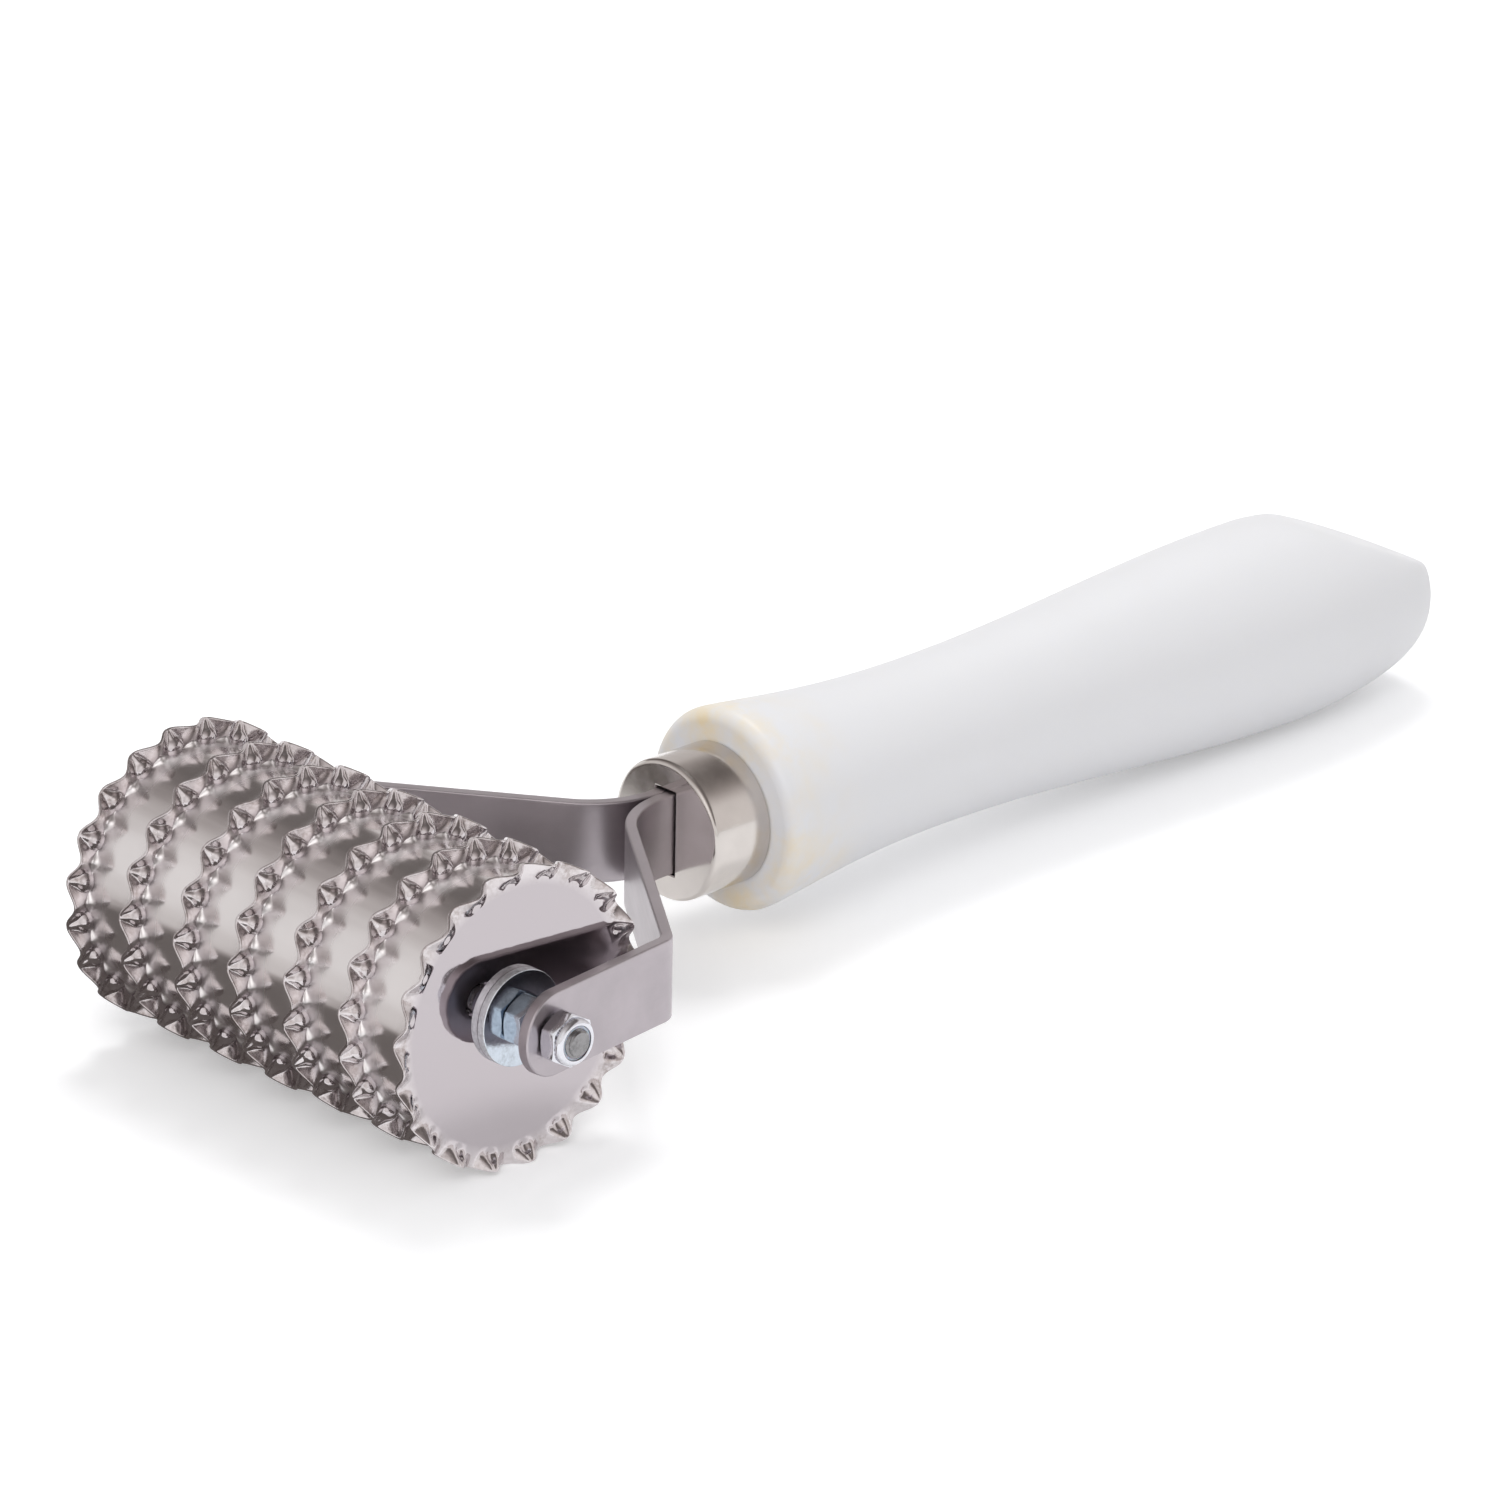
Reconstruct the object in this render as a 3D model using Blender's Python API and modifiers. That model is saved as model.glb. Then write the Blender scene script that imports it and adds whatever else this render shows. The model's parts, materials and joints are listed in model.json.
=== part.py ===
# Multi-wheel pasta cutter: seven crimped cutting wheels on one drum, turning on
# a threaded axle held by a two-armed yoke with a ferrule and a moulded handle.
# Metres, +Z up. The tool lies on its wheels and on the swell of its handle.

import bpy
import bmesh
import math
from mathutils import Matrix, Vector

MM = 0.001

# Cutting wheels, which stand proud of their drum by the width of the crimp
WHEEL_COUNT = 7
DRUM_RADIUS = 21.2 * MM
CRIMP_WIDTH = 3.8 * MM
WHEEL_RADIUS = DRUM_RADIUS + CRIMP_WIDTH
WHEEL_PITCH = 13.0 * MM
SHEET = 0.5 * MM
TOOTH_COUNT = 20
CRIMP_HEIGHT = 1.15 * MM
STUD_HEIGHT = 1.3 * MM
DISH_DEPTH = 0.95 * MM
DISH_WALL_RUN = 0.8 * MM

# Drum wall between the wheels, and the tube that carries the wheels
DRUM_WALL = 1.0 * MM
HUB_RADIUS = 6.0 * MM
HUB_WALL = 2.0 * MM
BUSH_LENGTH = 12.0 * MM

# Axle and its hardware: an M5 threaded rod with a large washer at each side
ROD_RADIUS = 2.5 * MM
ROD_CHAMFER = 0.4 * MM
ROD_PROUD = 0.6 * MM
WASHER_RADIUS = 8.0 * MM
WASHER_THICKNESS = 1.15 * MM
NUT_ACROSS_FLATS = 8.0 * MM
NUT_THICKNESS = 4.0 * MM
LOCKNUT_HEX_HEIGHT = 3.1 * MM
LOCKNUT_COLLAR_HEIGHT = 1.1 * MM
LOCKNUT_COLLAR_WALL = 0.5 * MM
INSERT_THICKNESS = 1.0 * MM

# Yoke: two bent strips, back to back in the ferrule
ARM_PLAY = 1.1 * MM
STRIP_WIDTH = 14.0 * MM
STRIP_THICKNESS = 2.0 * MM
SHOULDER_INSET = 3.4 * MM
SHOULDER_DISTANCE = 27.5 * MM
ROOT_DISTANCE = 57.8 * MM
SHOULDER_BEND = 2.0 * MM
ROOT_BEND = 15.8 * MM
TANG_END_DISTANCE = 112.0 * MM
RIVET_RADIUS = 2.0 * MM
RIVET_DISTANCE = 96.0 * MM

# Ferrule
FERRULE_RADIUS = 12.0 * MM
FERRULE_WALL = 1.0 * MM
FERRULE_FACE_THICKNESS = 2.0 * MM
FERRULE_FRONT_DISTANCE = 67.6 * MM
FERRULE_EDGE = 0.9 * MM

# Handle, a turned outline from the ferrule to the butt
HANDLE_FRONT_DISTANCE = 79.9 * MM
HANDLE_END_DISTANCE = 238.6 * MM
BEAD_RADIUS = 17.25 * MM
BEAD_ROUNDING = 2.45 * MM
WAIST_RADIUS = 14.15 * MM
WAIST_DISTANCE = 125.0 * MM
SWELL_RADIUS = 17.95 * MM
SWELL_DISTANCE = 208.0 * MM
BUTT_FLAT_RADIUS = 7.5 * MM
THUMB_FLAT_START = 210.0 * MM
THUMB_FLAT_RISE = 0.6 * MM
THUMB_FLAT_DROP = 13.3 * MM
BEAD_EASE_SHARE = 0.62
TAPER_POWER = 1.27
BUTT_POWER = 6.0

# Fits
RUNNING_GAP = 0.3 * MM
SEAT_GAP = 0.12 * MM
BORE_CLEARANCE = 0.3 * MM
ROD_CLEARANCE = 0.1 * MM
OVERRUN = 5.0 * MM
MERGE = 0.01 * MM

# Facets
WHEEL_STEPS = 4 * TOOTH_COUNT
DRUM_STEPS = 40
SMALL_STEPS = 20
NUT_SIDES = 6
GRIP_STEPS = 32
BEND_STEPS = 4
WAIST_STEPS = 5
SWELL_STEPS = 6
BUTT_STEPS = 6

# Materials: colour, roughness, metallic
FINISHES = {
    "wheel_nickel": ((0.62, 0.60, 0.59), 0.12, 1.0),
    "drum_nickel": ((0.66, 0.64, 0.62), 0.18, 1.0),
    "hub_steel": ((0.55, 0.55, 0.56), 0.35, 1.0),
    "bush_bronze": ((0.62, 0.42, 0.20), 0.35, 1.0),
    "zinc": ((0.66, 0.72, 0.78), 0.28, 1.0),
    "nylon": ((0.62, 0.70, 0.80), 0.40, 0.0),
    "yoke_nickel": ((0.62, 0.60, 0.60), 0.22, 1.0),
    "ferrule_nickel": ((0.60, 0.57, 0.55), 0.15, 1.0),
    "handle_plastic": ((0.84, 0.84, 0.85), 0.42, 0.0),
}

for old in list(bpy.data.objects):
    bpy.data.objects.remove(old, do_unlink=True)

part_collection = bpy.data.collections.new("pasta_cutter")
cutter_collection = bpy.data.collections.new("cutters")
bpy.context.scene.collection.children.link(part_collection)
bpy.context.scene.collection.children.link(cutter_collection)

# The handle drops from the axle to the table by this angle.
TILT = math.asin((WHEEL_RADIUS - SWELL_RADIUS) / SWELL_DISTANCE)


def make_material(name):
    colour, roughness, metallic = FINISHES[name]
    material = bpy.data.materials.new(name)
    material.use_nodes = True
    shader = material.node_tree.nodes["Principled BSDF"]
    shader.inputs["Base Color"].default_value = (*colour, 1.0)
    shader.inputs["Roughness"].default_value = roughness
    shader.inputs["Metallic"].default_value = metallic
    return material


MATERIALS = {name: make_material(name) for name in FINISHES}


def add_object(name, mesh, material, parent):
    """Put a finished mesh into the part, under the empty that carries it."""
    piece = bpy.data.objects.new(name, mesh)
    part_collection.objects.link(piece)
    piece.parent = parent
    mesh.materials.clear()
    mesh.materials.append(MATERIALS[material])
    mesh.shade_smooth()
    mesh.set_sharp_from_angle(angle=math.radians(30))
    return piece


def add_cutter(mesh, owner):
    """A cutting shape: kept out of the part, and moving with the piece it cuts."""
    cutter = bpy.data.objects.new(owner.name + "_cutter", mesh)
    cutter_collection.objects.link(cutter)
    cutter.parent = owner.parent
    cutter.hide_render = True
    cutter.display_type = "WIRE"
    return cutter


def cut(piece, mesh, operation="DIFFERENCE"):
    modifier = piece.modifiers.new(operation.lower(), "BOOLEAN")
    modifier.operation = operation
    modifier.object = add_cutter(mesh, piece)


def mesh_from(bm, name):
    mesh = bpy.data.meshes.new(name)
    bm.to_mesh(mesh)
    bm.free()
    return mesh


def prism_along_x(name, radius, low, high, steps):
    """A cylinder, or a hexagon with six steps and a corner up, from low to high along X."""
    bm = bmesh.new()
    middle = Matrix.Translation(((low + high) / 2, 0, 0))
    corner_up = Matrix.Rotation(math.radians(90), 4, "Z")
    lay = Matrix.Rotation(math.radians(90), 4, "Y") @ corner_up
    bmesh.ops.create_cone(
        bm, cap_ends=True, segments=steps, radius1=radius, radius2=radius,
        depth=high - low, matrix=middle @ lay)
    return mesh_from(bm, name)


def box(name, low, high):
    bm = bmesh.new()
    size = Vector(high) - Vector(low)
    middle = (Vector(high) + Vector(low)) / 2
    place = Matrix.Translation(middle) @ Matrix.Diagonal((*size, 1.0))
    bmesh.ops.create_cube(bm, size=1.0, matrix=place)
    return mesh_from(bm, name)


def turned(name, outline, axis, steps, closed):
    """A solid of revolution: outline points are (distance along axis, radius)."""
    mesh = bpy.data.meshes.new(name)
    if axis == "X":
        points = [(along, 0.0, radius) for along, radius in outline]
    else:
        points = [(radius, along, 0.0) for along, radius in outline]
    edges = [(i, i + 1) for i in range(len(points) - 1)]
    if closed:
        edges.append((len(points) - 1, 0))
    mesh.from_pydata(points, edges, [])
    guide = bpy.data.objects.new(name + "_outline", mesh)
    cutter_collection.objects.link(guide)
    screw = guide.modifiers.new("turn", "SCREW")
    screw.axis = axis
    screw.steps = steps
    screw.render_steps = steps
    screw.use_merge_vertices = True
    screw.merge_threshold = MERGE
    depsgraph = bpy.context.evaluated_depsgraph_get()
    solid = bpy.data.meshes.new_from_object(guide.evaluated_get(depsgraph))
    bpy.data.objects.remove(guide, do_unlink=True)
    bm = bmesh.new()
    bm.from_mesh(solid)
    bmesh.ops.remove_doubles(bm, verts=bm.verts, dist=MERGE)
    bmesh.ops.recalc_face_normals(bm, faces=bm.faces)
    bm.to_mesh(solid)
    bm.free()
    return solid


def ring_along_x(name, outer, inner, low, high, steps):
    outline = [(low, inner), (low, outer), (high, outer), (high, inner)]
    return turned(name, outline, "X", steps, closed=True)


def outline_prism(name, points, half_depth, place=None):
    """A flat outline in XY, filled and made half_depth thick both ways."""
    curve = bpy.data.curves.new(name, "CURVE")
    curve.dimensions = "2D"
    curve.fill_mode = "BOTH"
    curve.extrude = half_depth
    spline = curve.splines.new("POLY")
    spline.points.add(len(points) - 1)
    for spot, (across, along) in zip(spline.points, points):
        spot.co = (across, along, 0.0, 1.0)
    spline.use_cyclic_u = True
    guide = bpy.data.objects.new(name + "_outline", curve)
    cutter_collection.objects.link(guide)
    depsgraph = bpy.context.evaluated_depsgraph_get()
    mesh = bpy.data.meshes.new_from_object(guide.evaluated_get(depsgraph))
    bpy.data.objects.remove(guide, do_unlink=True)
    bm = bmesh.new()
    bm.from_mesh(mesh)
    bmesh.ops.remove_doubles(bm, verts=bm.verts, dist=MERGE)
    bmesh.ops.recalc_face_normals(bm, faces=bm.faces)
    if place is not None:
        bm.transform(place)
    bm.to_mesh(mesh)
    bm.free()
    return mesh


def make_empty(name, parent=None):
    empty = bpy.data.objects.new(name, None)
    part_collection.objects.link(empty)
    empty.parent = parent
    return empty


# The tool's own frame: X along the axle, Y from the axle to the butt.
tool = make_empty("tool_frame")
tool.rotation_euler = (-TILT, 0.0, 0.0)
front_reach = WHEEL_RADIUS
back_reach = HANDLE_END_DISTANCE * math.cos(TILT)
tool.location = (0.0, (front_reach - back_reach) / 2, WHEEL_RADIUS)
rotor = make_empty("rotor_axis", tool)

WHEEL_BORE = HUB_RADIUS + BORE_CLEARANCE
DISH_RADIUS = DRUM_RADIUS - DRUM_WALL - BORE_CLEARANCE


def wheel_mesh(name, facing, dish):
    """A sheet disc: a radial line spun round the axle, then crimped, studded and dished."""
    rings = [DRUM_RADIUS, DRUM_RADIUS + CRIMP_WIDTH / 2, WHEEL_RADIUS]
    if dish > 0:
        rings = [DISH_RADIUS - DISH_WALL_RUN, DISH_RADIUS] + rings
    rings = [WHEEL_BORE] + rings
    bm = bmesh.new()
    spots = [bm.verts.new((0.0, 0.0, radius)) for radius in rings]
    for inner, outer in zip(spots, spots[1:]):
        bm.edges.new((inner, outer))
    bmesh.ops.spin(
        bm, geom=bm.verts[:] + bm.edges[:], axis=(1.0, 0.0, 0.0), cent=(0.0, 0.0, 0.0),
        angle=math.tau, steps=WHEEL_STEPS, use_merge=True, use_duplicate=False)
    bmesh.ops.remove_doubles(bm, verts=bm.verts, dist=MERGE)
    for spot in bm.verts:
        radius = math.hypot(spot.co.y, spot.co.z)
        out = max(0.0, (radius - DRUM_RADIUS) / CRIMP_WIDTH)
        wave = math.cos(TOOTH_COUNT * math.atan2(spot.co.z, spot.co.y))
        crimp = CRIMP_HEIGHT * wave * out * out
        stud = STUD_HEIGHT * max(0.0, -wave) * math.sin(math.pi * out)
        sunk = dish if radius < DISH_RADIUS - DISH_WALL_RUN / 2 else 0.0
        spot.co.x = facing * (crimp + stud + sunk)
    bmesh.ops.recalc_face_normals(bm, faces=bm.faces)
    return mesh_from(bm, name)


def wheel_place(index):
    return (index - (WHEEL_COUNT - 1) / 2) * WHEEL_PITCH


# Wheels: the end ones are dished inwards, and the last is turned round, so its
# studs face the drum too.
for index in range(WHEEL_COUNT):
    facing = -1 if index == WHEEL_COUNT - 1 else 1
    dish = DISH_DEPTH if index in (0, WHEEL_COUNT - 1) else 0.0
    sheet = wheel_mesh("wheel_stamping", facing, dish)
    wheel = add_object(f"wheel_{index + 1}", sheet, "wheel_nickel", rotor)
    wheel.location.x = wheel_place(index)
    solidify = wheel.modifiers.new("sheet", "SOLIDIFY")
    solidify.thickness = SHEET
    solidify.offset = 0.0

# Drum: plain tubes that hold the wheels one pitch apart
drum_reach = WHEEL_PITCH / 2 - SHEET / 2 - SEAT_GAP
for index in range(WHEEL_COUNT - 1):
    section = ring_along_x(
        "drum_section", DRUM_RADIUS, DRUM_RADIUS - DRUM_WALL, -drum_reach, drum_reach, DRUM_STEPS)
    drum = add_object(f"drum_section_{index + 1}", section, "drum_nickel", rotor)
    drum.location.x = (wheel_place(index) + wheel_place(index + 1)) / 2

# Hub tube through all the wheels, with a bush pressed into each end
stack_reach = wheel_place(WHEEL_COUNT - 1) + SHEET / 2 - DISH_DEPTH
HUB_BORE = HUB_RADIUS - HUB_WALL
hub = ring_along_x("hub", HUB_RADIUS, HUB_BORE, -stack_reach, stack_reach, SMALL_STEPS)
add_object("hub_tube", hub, "hub_steel", rotor)
for side, word in ((-1, "left"), (1, "right")):
    bush_ends = sorted((side * stack_reach, side * (stack_reach - BUSH_LENGTH)))
    bush = ring_along_x(
        "bush", HUB_BORE - SEAT_GAP, ROD_RADIUS + ROD_CLEARANCE, *bush_ends, SMALL_STEPS)
    add_object(f"bush_{word}", bush, "bush_bronze", rotor)

# Hardware: where each piece starts, working out from the last wheel's face
ROD_HOLE = ROD_RADIUS + BORE_CLEARANCE
HEX_RADIUS = NUT_ACROSS_FLATS / 2 / math.cos(math.radians(30))
# The arms splay, so the strip stands off the nuts by its slope over a nut's corner.
SPLAY = SHOULDER_INSET / SHOULDER_DISTANCE
splay_gap = SPLAY * HEX_RADIUS + SEAT_GAP
washer_start = stack_reach + RUNNING_GAP
nut_start = washer_start + WASHER_THICKNESS + SEAT_GAP
arm_inside = nut_start + NUT_THICKNESS + splay_gap + ARM_PLAY
arm_outside = arm_inside + STRIP_THICKNESS
locknut_start = arm_outside + splay_gap
locknut_end = locknut_start + LOCKNUT_HEX_HEIGHT + LOCKNUT_COLLAR_HEIGHT
rod_reach = locknut_end + ROD_PROUD
COLLAR_RADIUS = NUT_ACROSS_FLATS / 2 - SEAT_GAP
INSERT_OUTER = COLLAR_RADIUS - LOCKNUT_COLLAR_WALL

rod_outline = [
    (-rod_reach, 0.0),
    (-rod_reach, ROD_RADIUS - ROD_CHAMFER),
    (-rod_reach + ROD_CHAMFER, ROD_RADIUS),
    (rod_reach - ROD_CHAMFER, ROD_RADIUS),
    (rod_reach, ROD_RADIUS - ROD_CHAMFER),
    (rod_reach, 0.0),
]
rod = turned("rod", rod_outline, "X", SMALL_STEPS, closed=False)
add_object("axle_rod", rod, "zinc", tool)

for side, word in ((-1, "left"), (1, "right")):
    washer_ends = sorted((side * washer_start, side * (washer_start + WASHER_THICKNESS)))
    washer = ring_along_x("washer", WASHER_RADIUS, ROD_HOLE, *washer_ends, SMALL_STEPS)
    add_object(f"washer_{word}", washer, "zinc", tool)

    hole = prism_along_x("rod_hole", ROD_HOLE, -rod_reach - OVERRUN, rod_reach + OVERRUN, SMALL_STEPS)
    nut_ends = sorted((side * nut_start, side * (nut_start + NUT_THICKNESS)))
    nut = add_object(
        f"inner_nut_{word}", prism_along_x("nut", HEX_RADIUS, *nut_ends, NUT_SIDES), "zinc", tool)
    cut(nut, hole)

    hex_end = locknut_start + LOCKNUT_HEX_HEIGHT
    hex_ends = sorted((side * locknut_start, side * hex_end))
    locknut = add_object(
        f"locknut_{word}", prism_along_x("locknut", HEX_RADIUS, *hex_ends, NUT_SIDES), "zinc", tool)
    collar_ends = sorted((side * (hex_end - SEAT_GAP), side * locknut_end))
    cut(locknut, prism_along_x("collar", COLLAR_RADIUS, *collar_ends, SMALL_STEPS), "UNION")
    recess_ends = sorted((side * (locknut_end - INSERT_THICKNESS), side * (locknut_end + OVERRUN)))
    cut(locknut, prism_along_x("recess", INSERT_OUTER, *recess_ends, SMALL_STEPS))
    cut(locknut, hole.copy())

    insert_ends = sorted((
        side * (locknut_end - INSERT_THICKNESS + SEAT_GAP), side * locknut_end))
    insert = ring_along_x(
        "insert", INSERT_OUTER - SEAT_GAP, ROD_RADIUS + ROD_CLEARANCE, *insert_ends, SMALL_STEPS)
    add_object(f"locknut_insert_{word}", insert, "nylon", tool)


def bend(before, corner, after, radius, steps):
    """Points of the arc of a given radius that rounds a corner of the strip's middle line."""
    into = (corner - before).normalized()
    away = (after - corner).normalized()
    half_turn = into.angle(away) / 2
    run = radius * math.tan(half_turn)
    start = corner - into * run
    side = Vector((-into.y, into.x))
    if side.dot(away) < 0:
        side = -side
    centre = start + side * radius
    spots = []
    for n in range(steps + 1):
        turn = 2 * half_turn * n / steps
        spots.append(centre - side * radius * math.cos(turn) + into * radius * math.sin(turn))
    return spots


# Yoke arms: the middle line of the right strip, from its rounded end to the tang
HALF_STRIP = STRIP_THICKNESS / 2
END_ROUNDING = STRIP_WIDTH / 2
arm_middle = arm_inside + HALF_STRIP
tang_middle = HALF_STRIP + SEAT_GAP / 2
tip = Vector((arm_middle + SPLAY * END_ROUNDING, -END_ROUNDING))
shoulder = Vector((arm_middle - SHOULDER_INSET, SHOULDER_DISTANCE))
root = Vector((tang_middle, ROOT_DISTANCE))
tang_end = Vector((tang_middle, TANG_END_DISTANCE))
middle_line = [tip]
middle_line += bend(tip, shoulder, root, SHOULDER_BEND, BEND_STEPS)
middle_line += bend(shoulder, root, tang_end, ROOT_BEND, 2 * BEND_STEPS)
middle_line.append(tang_end)


def strip_outline(line, half):
    """Both faces of a strip, each half a thickness off its middle line."""
    left, right = [], []
    for n, spot in enumerate(line):
        before = line[max(n - 1, 0)]
        after = line[min(n + 1, len(line) - 1)]
        run_in = (spot - before).normalized() if n > 0 else (after - spot).normalized()
        run_out = (after - spot).normalized() if n < len(line) - 1 else run_in
        heading = (run_in + run_out).normalized()
        across = Vector((-heading.y, heading.x)) * half / heading.dot(run_in)
        left.append(spot + across)
        right.append(spot - across)
    return left + right[::-1]


def stadium(end, reach, half, steps):
    """A bar with one round end about the axle, as (distance, height) points."""
    arc = [
        (-end * math.sin(math.pi * n / steps), end * math.cos(math.pi * n / steps))
        for n in range(steps + 1)]
    return [(reach, half)] + arc + [(reach, -half)]


# The stadium lies in the tool's YZ plane and is as deep as the yoke is wide.
upright = Matrix(((0, 0, 1, 0), (1, 0, 0, 0), (0, 1, 0, 0), (0, 0, 0, 1)))
for side, word in ((-1, "left"), (1, "right")):
    points = [(side * spot.x, spot.y) for spot in strip_outline(middle_line, HALF_STRIP)]
    blank = outline_prism("strip", points, STRIP_WIDTH / 2 + OVERRUN)
    arm = add_object(f"yoke_arm_{word}", blank, "yoke_nickel", tool)
    rounding = outline_prism(
        "end_rounding",
        stadium(END_ROUNDING, TANG_END_DISTANCE + OVERRUN, STRIP_WIDTH / 2, SMALL_STEPS // 2),
        rod_reach + OVERRUN, upright)
    cut(arm, rounding, "INTERSECT")
    cut(arm, prism_along_x(
        "rod_hole", ROD_HOLE + SPLAY * STRIP_THICKNESS,
        -rod_reach - OVERRUN, rod_reach + OVERRUN, SMALL_STEPS))
    rivet_hole = prism_along_x(
        "rivet_hole", RIVET_RADIUS + BORE_CLEARANCE, -OVERRUN, OVERRUN, SMALL_STEPS // 2)
    rivet_hole.transform(Matrix.Translation((0, RIVET_DISTANCE, 0)))
    cut(arm, rivet_hole)

# A flush rivet holds the two strips together inside the handle.
TANG_THICKNESS = 2 * STRIP_THICKNESS + SEAT_GAP
rivet = prism_along_x(
    "rivet", RIVET_RADIUS, -TANG_THICKNESS / 2, TANG_THICKNESS / 2, SMALL_STEPS // 2)
rivet.transform(Matrix.Translation((0, RIVET_DISTANCE, 0)))
add_object("tang_rivet", rivet, "hub_steel", tool)

# Slot for the two strips, used by the ferrule and by the handle
slot_half_thickness = TANG_THICKNESS / 2 + BORE_CLEARANCE
slot_half_width = STRIP_WIDTH / 2 + BORE_CLEARANCE

# Ferrule: a cup over the handle's spigot, with the slot through its face
FERRULE_BORE = FERRULE_RADIUS - FERRULE_WALL
face_back = FERRULE_FRONT_DISTANCE + FERRULE_FACE_THICKNESS
ferrule_back = HANDLE_FRONT_DISTANCE - SEAT_GAP
edge_arc = [
    (FERRULE_FRONT_DISTANCE + FERRULE_EDGE * (1 - math.cos(turn)),
     FERRULE_RADIUS - FERRULE_EDGE * (1 - math.sin(turn)))
    for turn in (math.radians(90) * n / BEND_STEPS for n in range(BEND_STEPS + 1))]
ferrule_outline = [(FERRULE_FRONT_DISTANCE, 0.0)] + edge_arc + [
    (ferrule_back, FERRULE_RADIUS),
    (ferrule_back, FERRULE_BORE),
    (face_back, FERRULE_BORE),
    (face_back, 0.0),
]
ferrule = add_object(
    "ferrule", turned("ferrule", ferrule_outline, "Y", GRIP_STEPS, closed=False),
    "ferrule_nickel", tool)
cut(ferrule, box(
    "ferrule_slot",
    (-slot_half_thickness, FERRULE_FRONT_DISTANCE - OVERRUN, -slot_half_width),
    (slot_half_thickness, face_back + OVERRUN, slot_half_width)))


def blend(low, high, share):
    """A smooth step from low to high, level at both ends."""
    return low + (high - low) * (1 - math.cos(math.pi * share)) / 2


def grip_outline():
    """Bead, waist and swell in half cosine waves, then a blunt butt."""
    spigot_radius = FERRULE_BORE - BORE_CLEARANCE
    points = [(face_back + SEAT_GAP, 0.0), (face_back + SEAT_GAP, spigot_radius)]
    points.append((HANDLE_FRONT_DISTANCE, spigot_radius))
    for n in range(BEND_STEPS + 1):
        turn = math.radians(90) * n / BEND_STEPS
        points.append((
            HANDLE_FRONT_DISTANCE + BEAD_ROUNDING * (1 - math.cos(turn)),
            BEAD_RADIUS - BEAD_ROUNDING * (1 - math.sin(turn))))
    crest = HANDLE_FRONT_DISTANCE + BEAD_ROUNDING
    for n in range(1, WAIST_STEPS + 1):
        share = n / WAIST_STEPS
        points.append((
            crest + (WAIST_DISTANCE - crest) * share,
            blend(BEAD_RADIUS, WAIST_RADIUS, share ** BEAD_EASE_SHARE)))
    for n in range(1, SWELL_STEPS + 1):
        share = n / SWELL_STEPS
        points.append((
            WAIST_DISTANCE + (SWELL_DISTANCE - WAIST_DISTANCE) * share,
            blend(WAIST_RADIUS, SWELL_RADIUS, share)))
    butt_run = HANDLE_END_DISTANCE - SWELL_DISTANCE
    flat_share = (1 - (BUTT_FLAT_RADIUS / SWELL_RADIUS) ** BUTT_POWER) ** (1 / TAPER_POWER)
    for n in range(1, BUTT_STEPS + 1):
        share = flat_share * math.sin(math.radians(90) * n / BUTT_STEPS)
        radius = SWELL_RADIUS * (1 - share ** TAPER_POWER) ** (1 / BUTT_POWER)
        points.append((SWELL_DISTANCE + butt_run * share / flat_share, radius))
    points.append((HANDLE_END_DISTANCE, 0.0))
    return points


# Handle: turned, with a sloping flat cut on top of the butt and a pocket for the tang
handle = add_object(
    "handle", turned("handle", grip_outline(), "Y", GRIP_STEPS, closed=False),
    "handle_plastic", tool)
flat_run = HANDLE_END_DISTANCE - THUMB_FLAT_START
flat_slope = math.atan2(THUMB_FLAT_DROP, flat_run)
waste = box(
    "thumb_flat", (-SWELL_RADIUS - OVERRUN, -flat_run, 0.0),
    (SWELL_RADIUS + OVERRUN, 2 * flat_run, SWELL_RADIUS))
waste.transform(
    Matrix.Translation((0, THUMB_FLAT_START, SWELL_RADIUS + THUMB_FLAT_RISE))
    @ Matrix.Rotation(-flat_slope, 4, "X"))
cut(handle, waste)
cut(handle, box(
    "tang_pocket",
    (-slot_half_thickness, face_back - OVERRUN, -slot_half_width),
    (slot_half_thickness, TANG_END_DISTANCE + BORE_CLEARANCE, slot_half_width)))
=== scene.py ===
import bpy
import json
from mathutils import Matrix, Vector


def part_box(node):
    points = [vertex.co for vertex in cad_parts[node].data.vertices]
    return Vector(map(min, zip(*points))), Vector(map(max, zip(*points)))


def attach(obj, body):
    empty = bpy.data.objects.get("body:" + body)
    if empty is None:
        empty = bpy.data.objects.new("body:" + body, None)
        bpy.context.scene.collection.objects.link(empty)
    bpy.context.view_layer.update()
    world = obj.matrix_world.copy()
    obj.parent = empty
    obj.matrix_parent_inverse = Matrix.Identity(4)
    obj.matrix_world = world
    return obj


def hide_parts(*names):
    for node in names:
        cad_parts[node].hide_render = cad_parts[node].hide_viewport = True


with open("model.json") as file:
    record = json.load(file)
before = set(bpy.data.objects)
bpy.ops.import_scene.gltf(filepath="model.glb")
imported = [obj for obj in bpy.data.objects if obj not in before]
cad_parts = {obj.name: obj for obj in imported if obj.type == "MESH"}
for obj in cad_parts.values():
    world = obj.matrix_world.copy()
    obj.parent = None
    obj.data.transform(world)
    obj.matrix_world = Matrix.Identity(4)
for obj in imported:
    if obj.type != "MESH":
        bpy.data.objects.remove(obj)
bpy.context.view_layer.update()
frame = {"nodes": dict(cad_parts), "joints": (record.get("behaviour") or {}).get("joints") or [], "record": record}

import json
import math

import bmesh
import bpy
import numpy as np
from mathutils import Matrix, Vector

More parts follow.
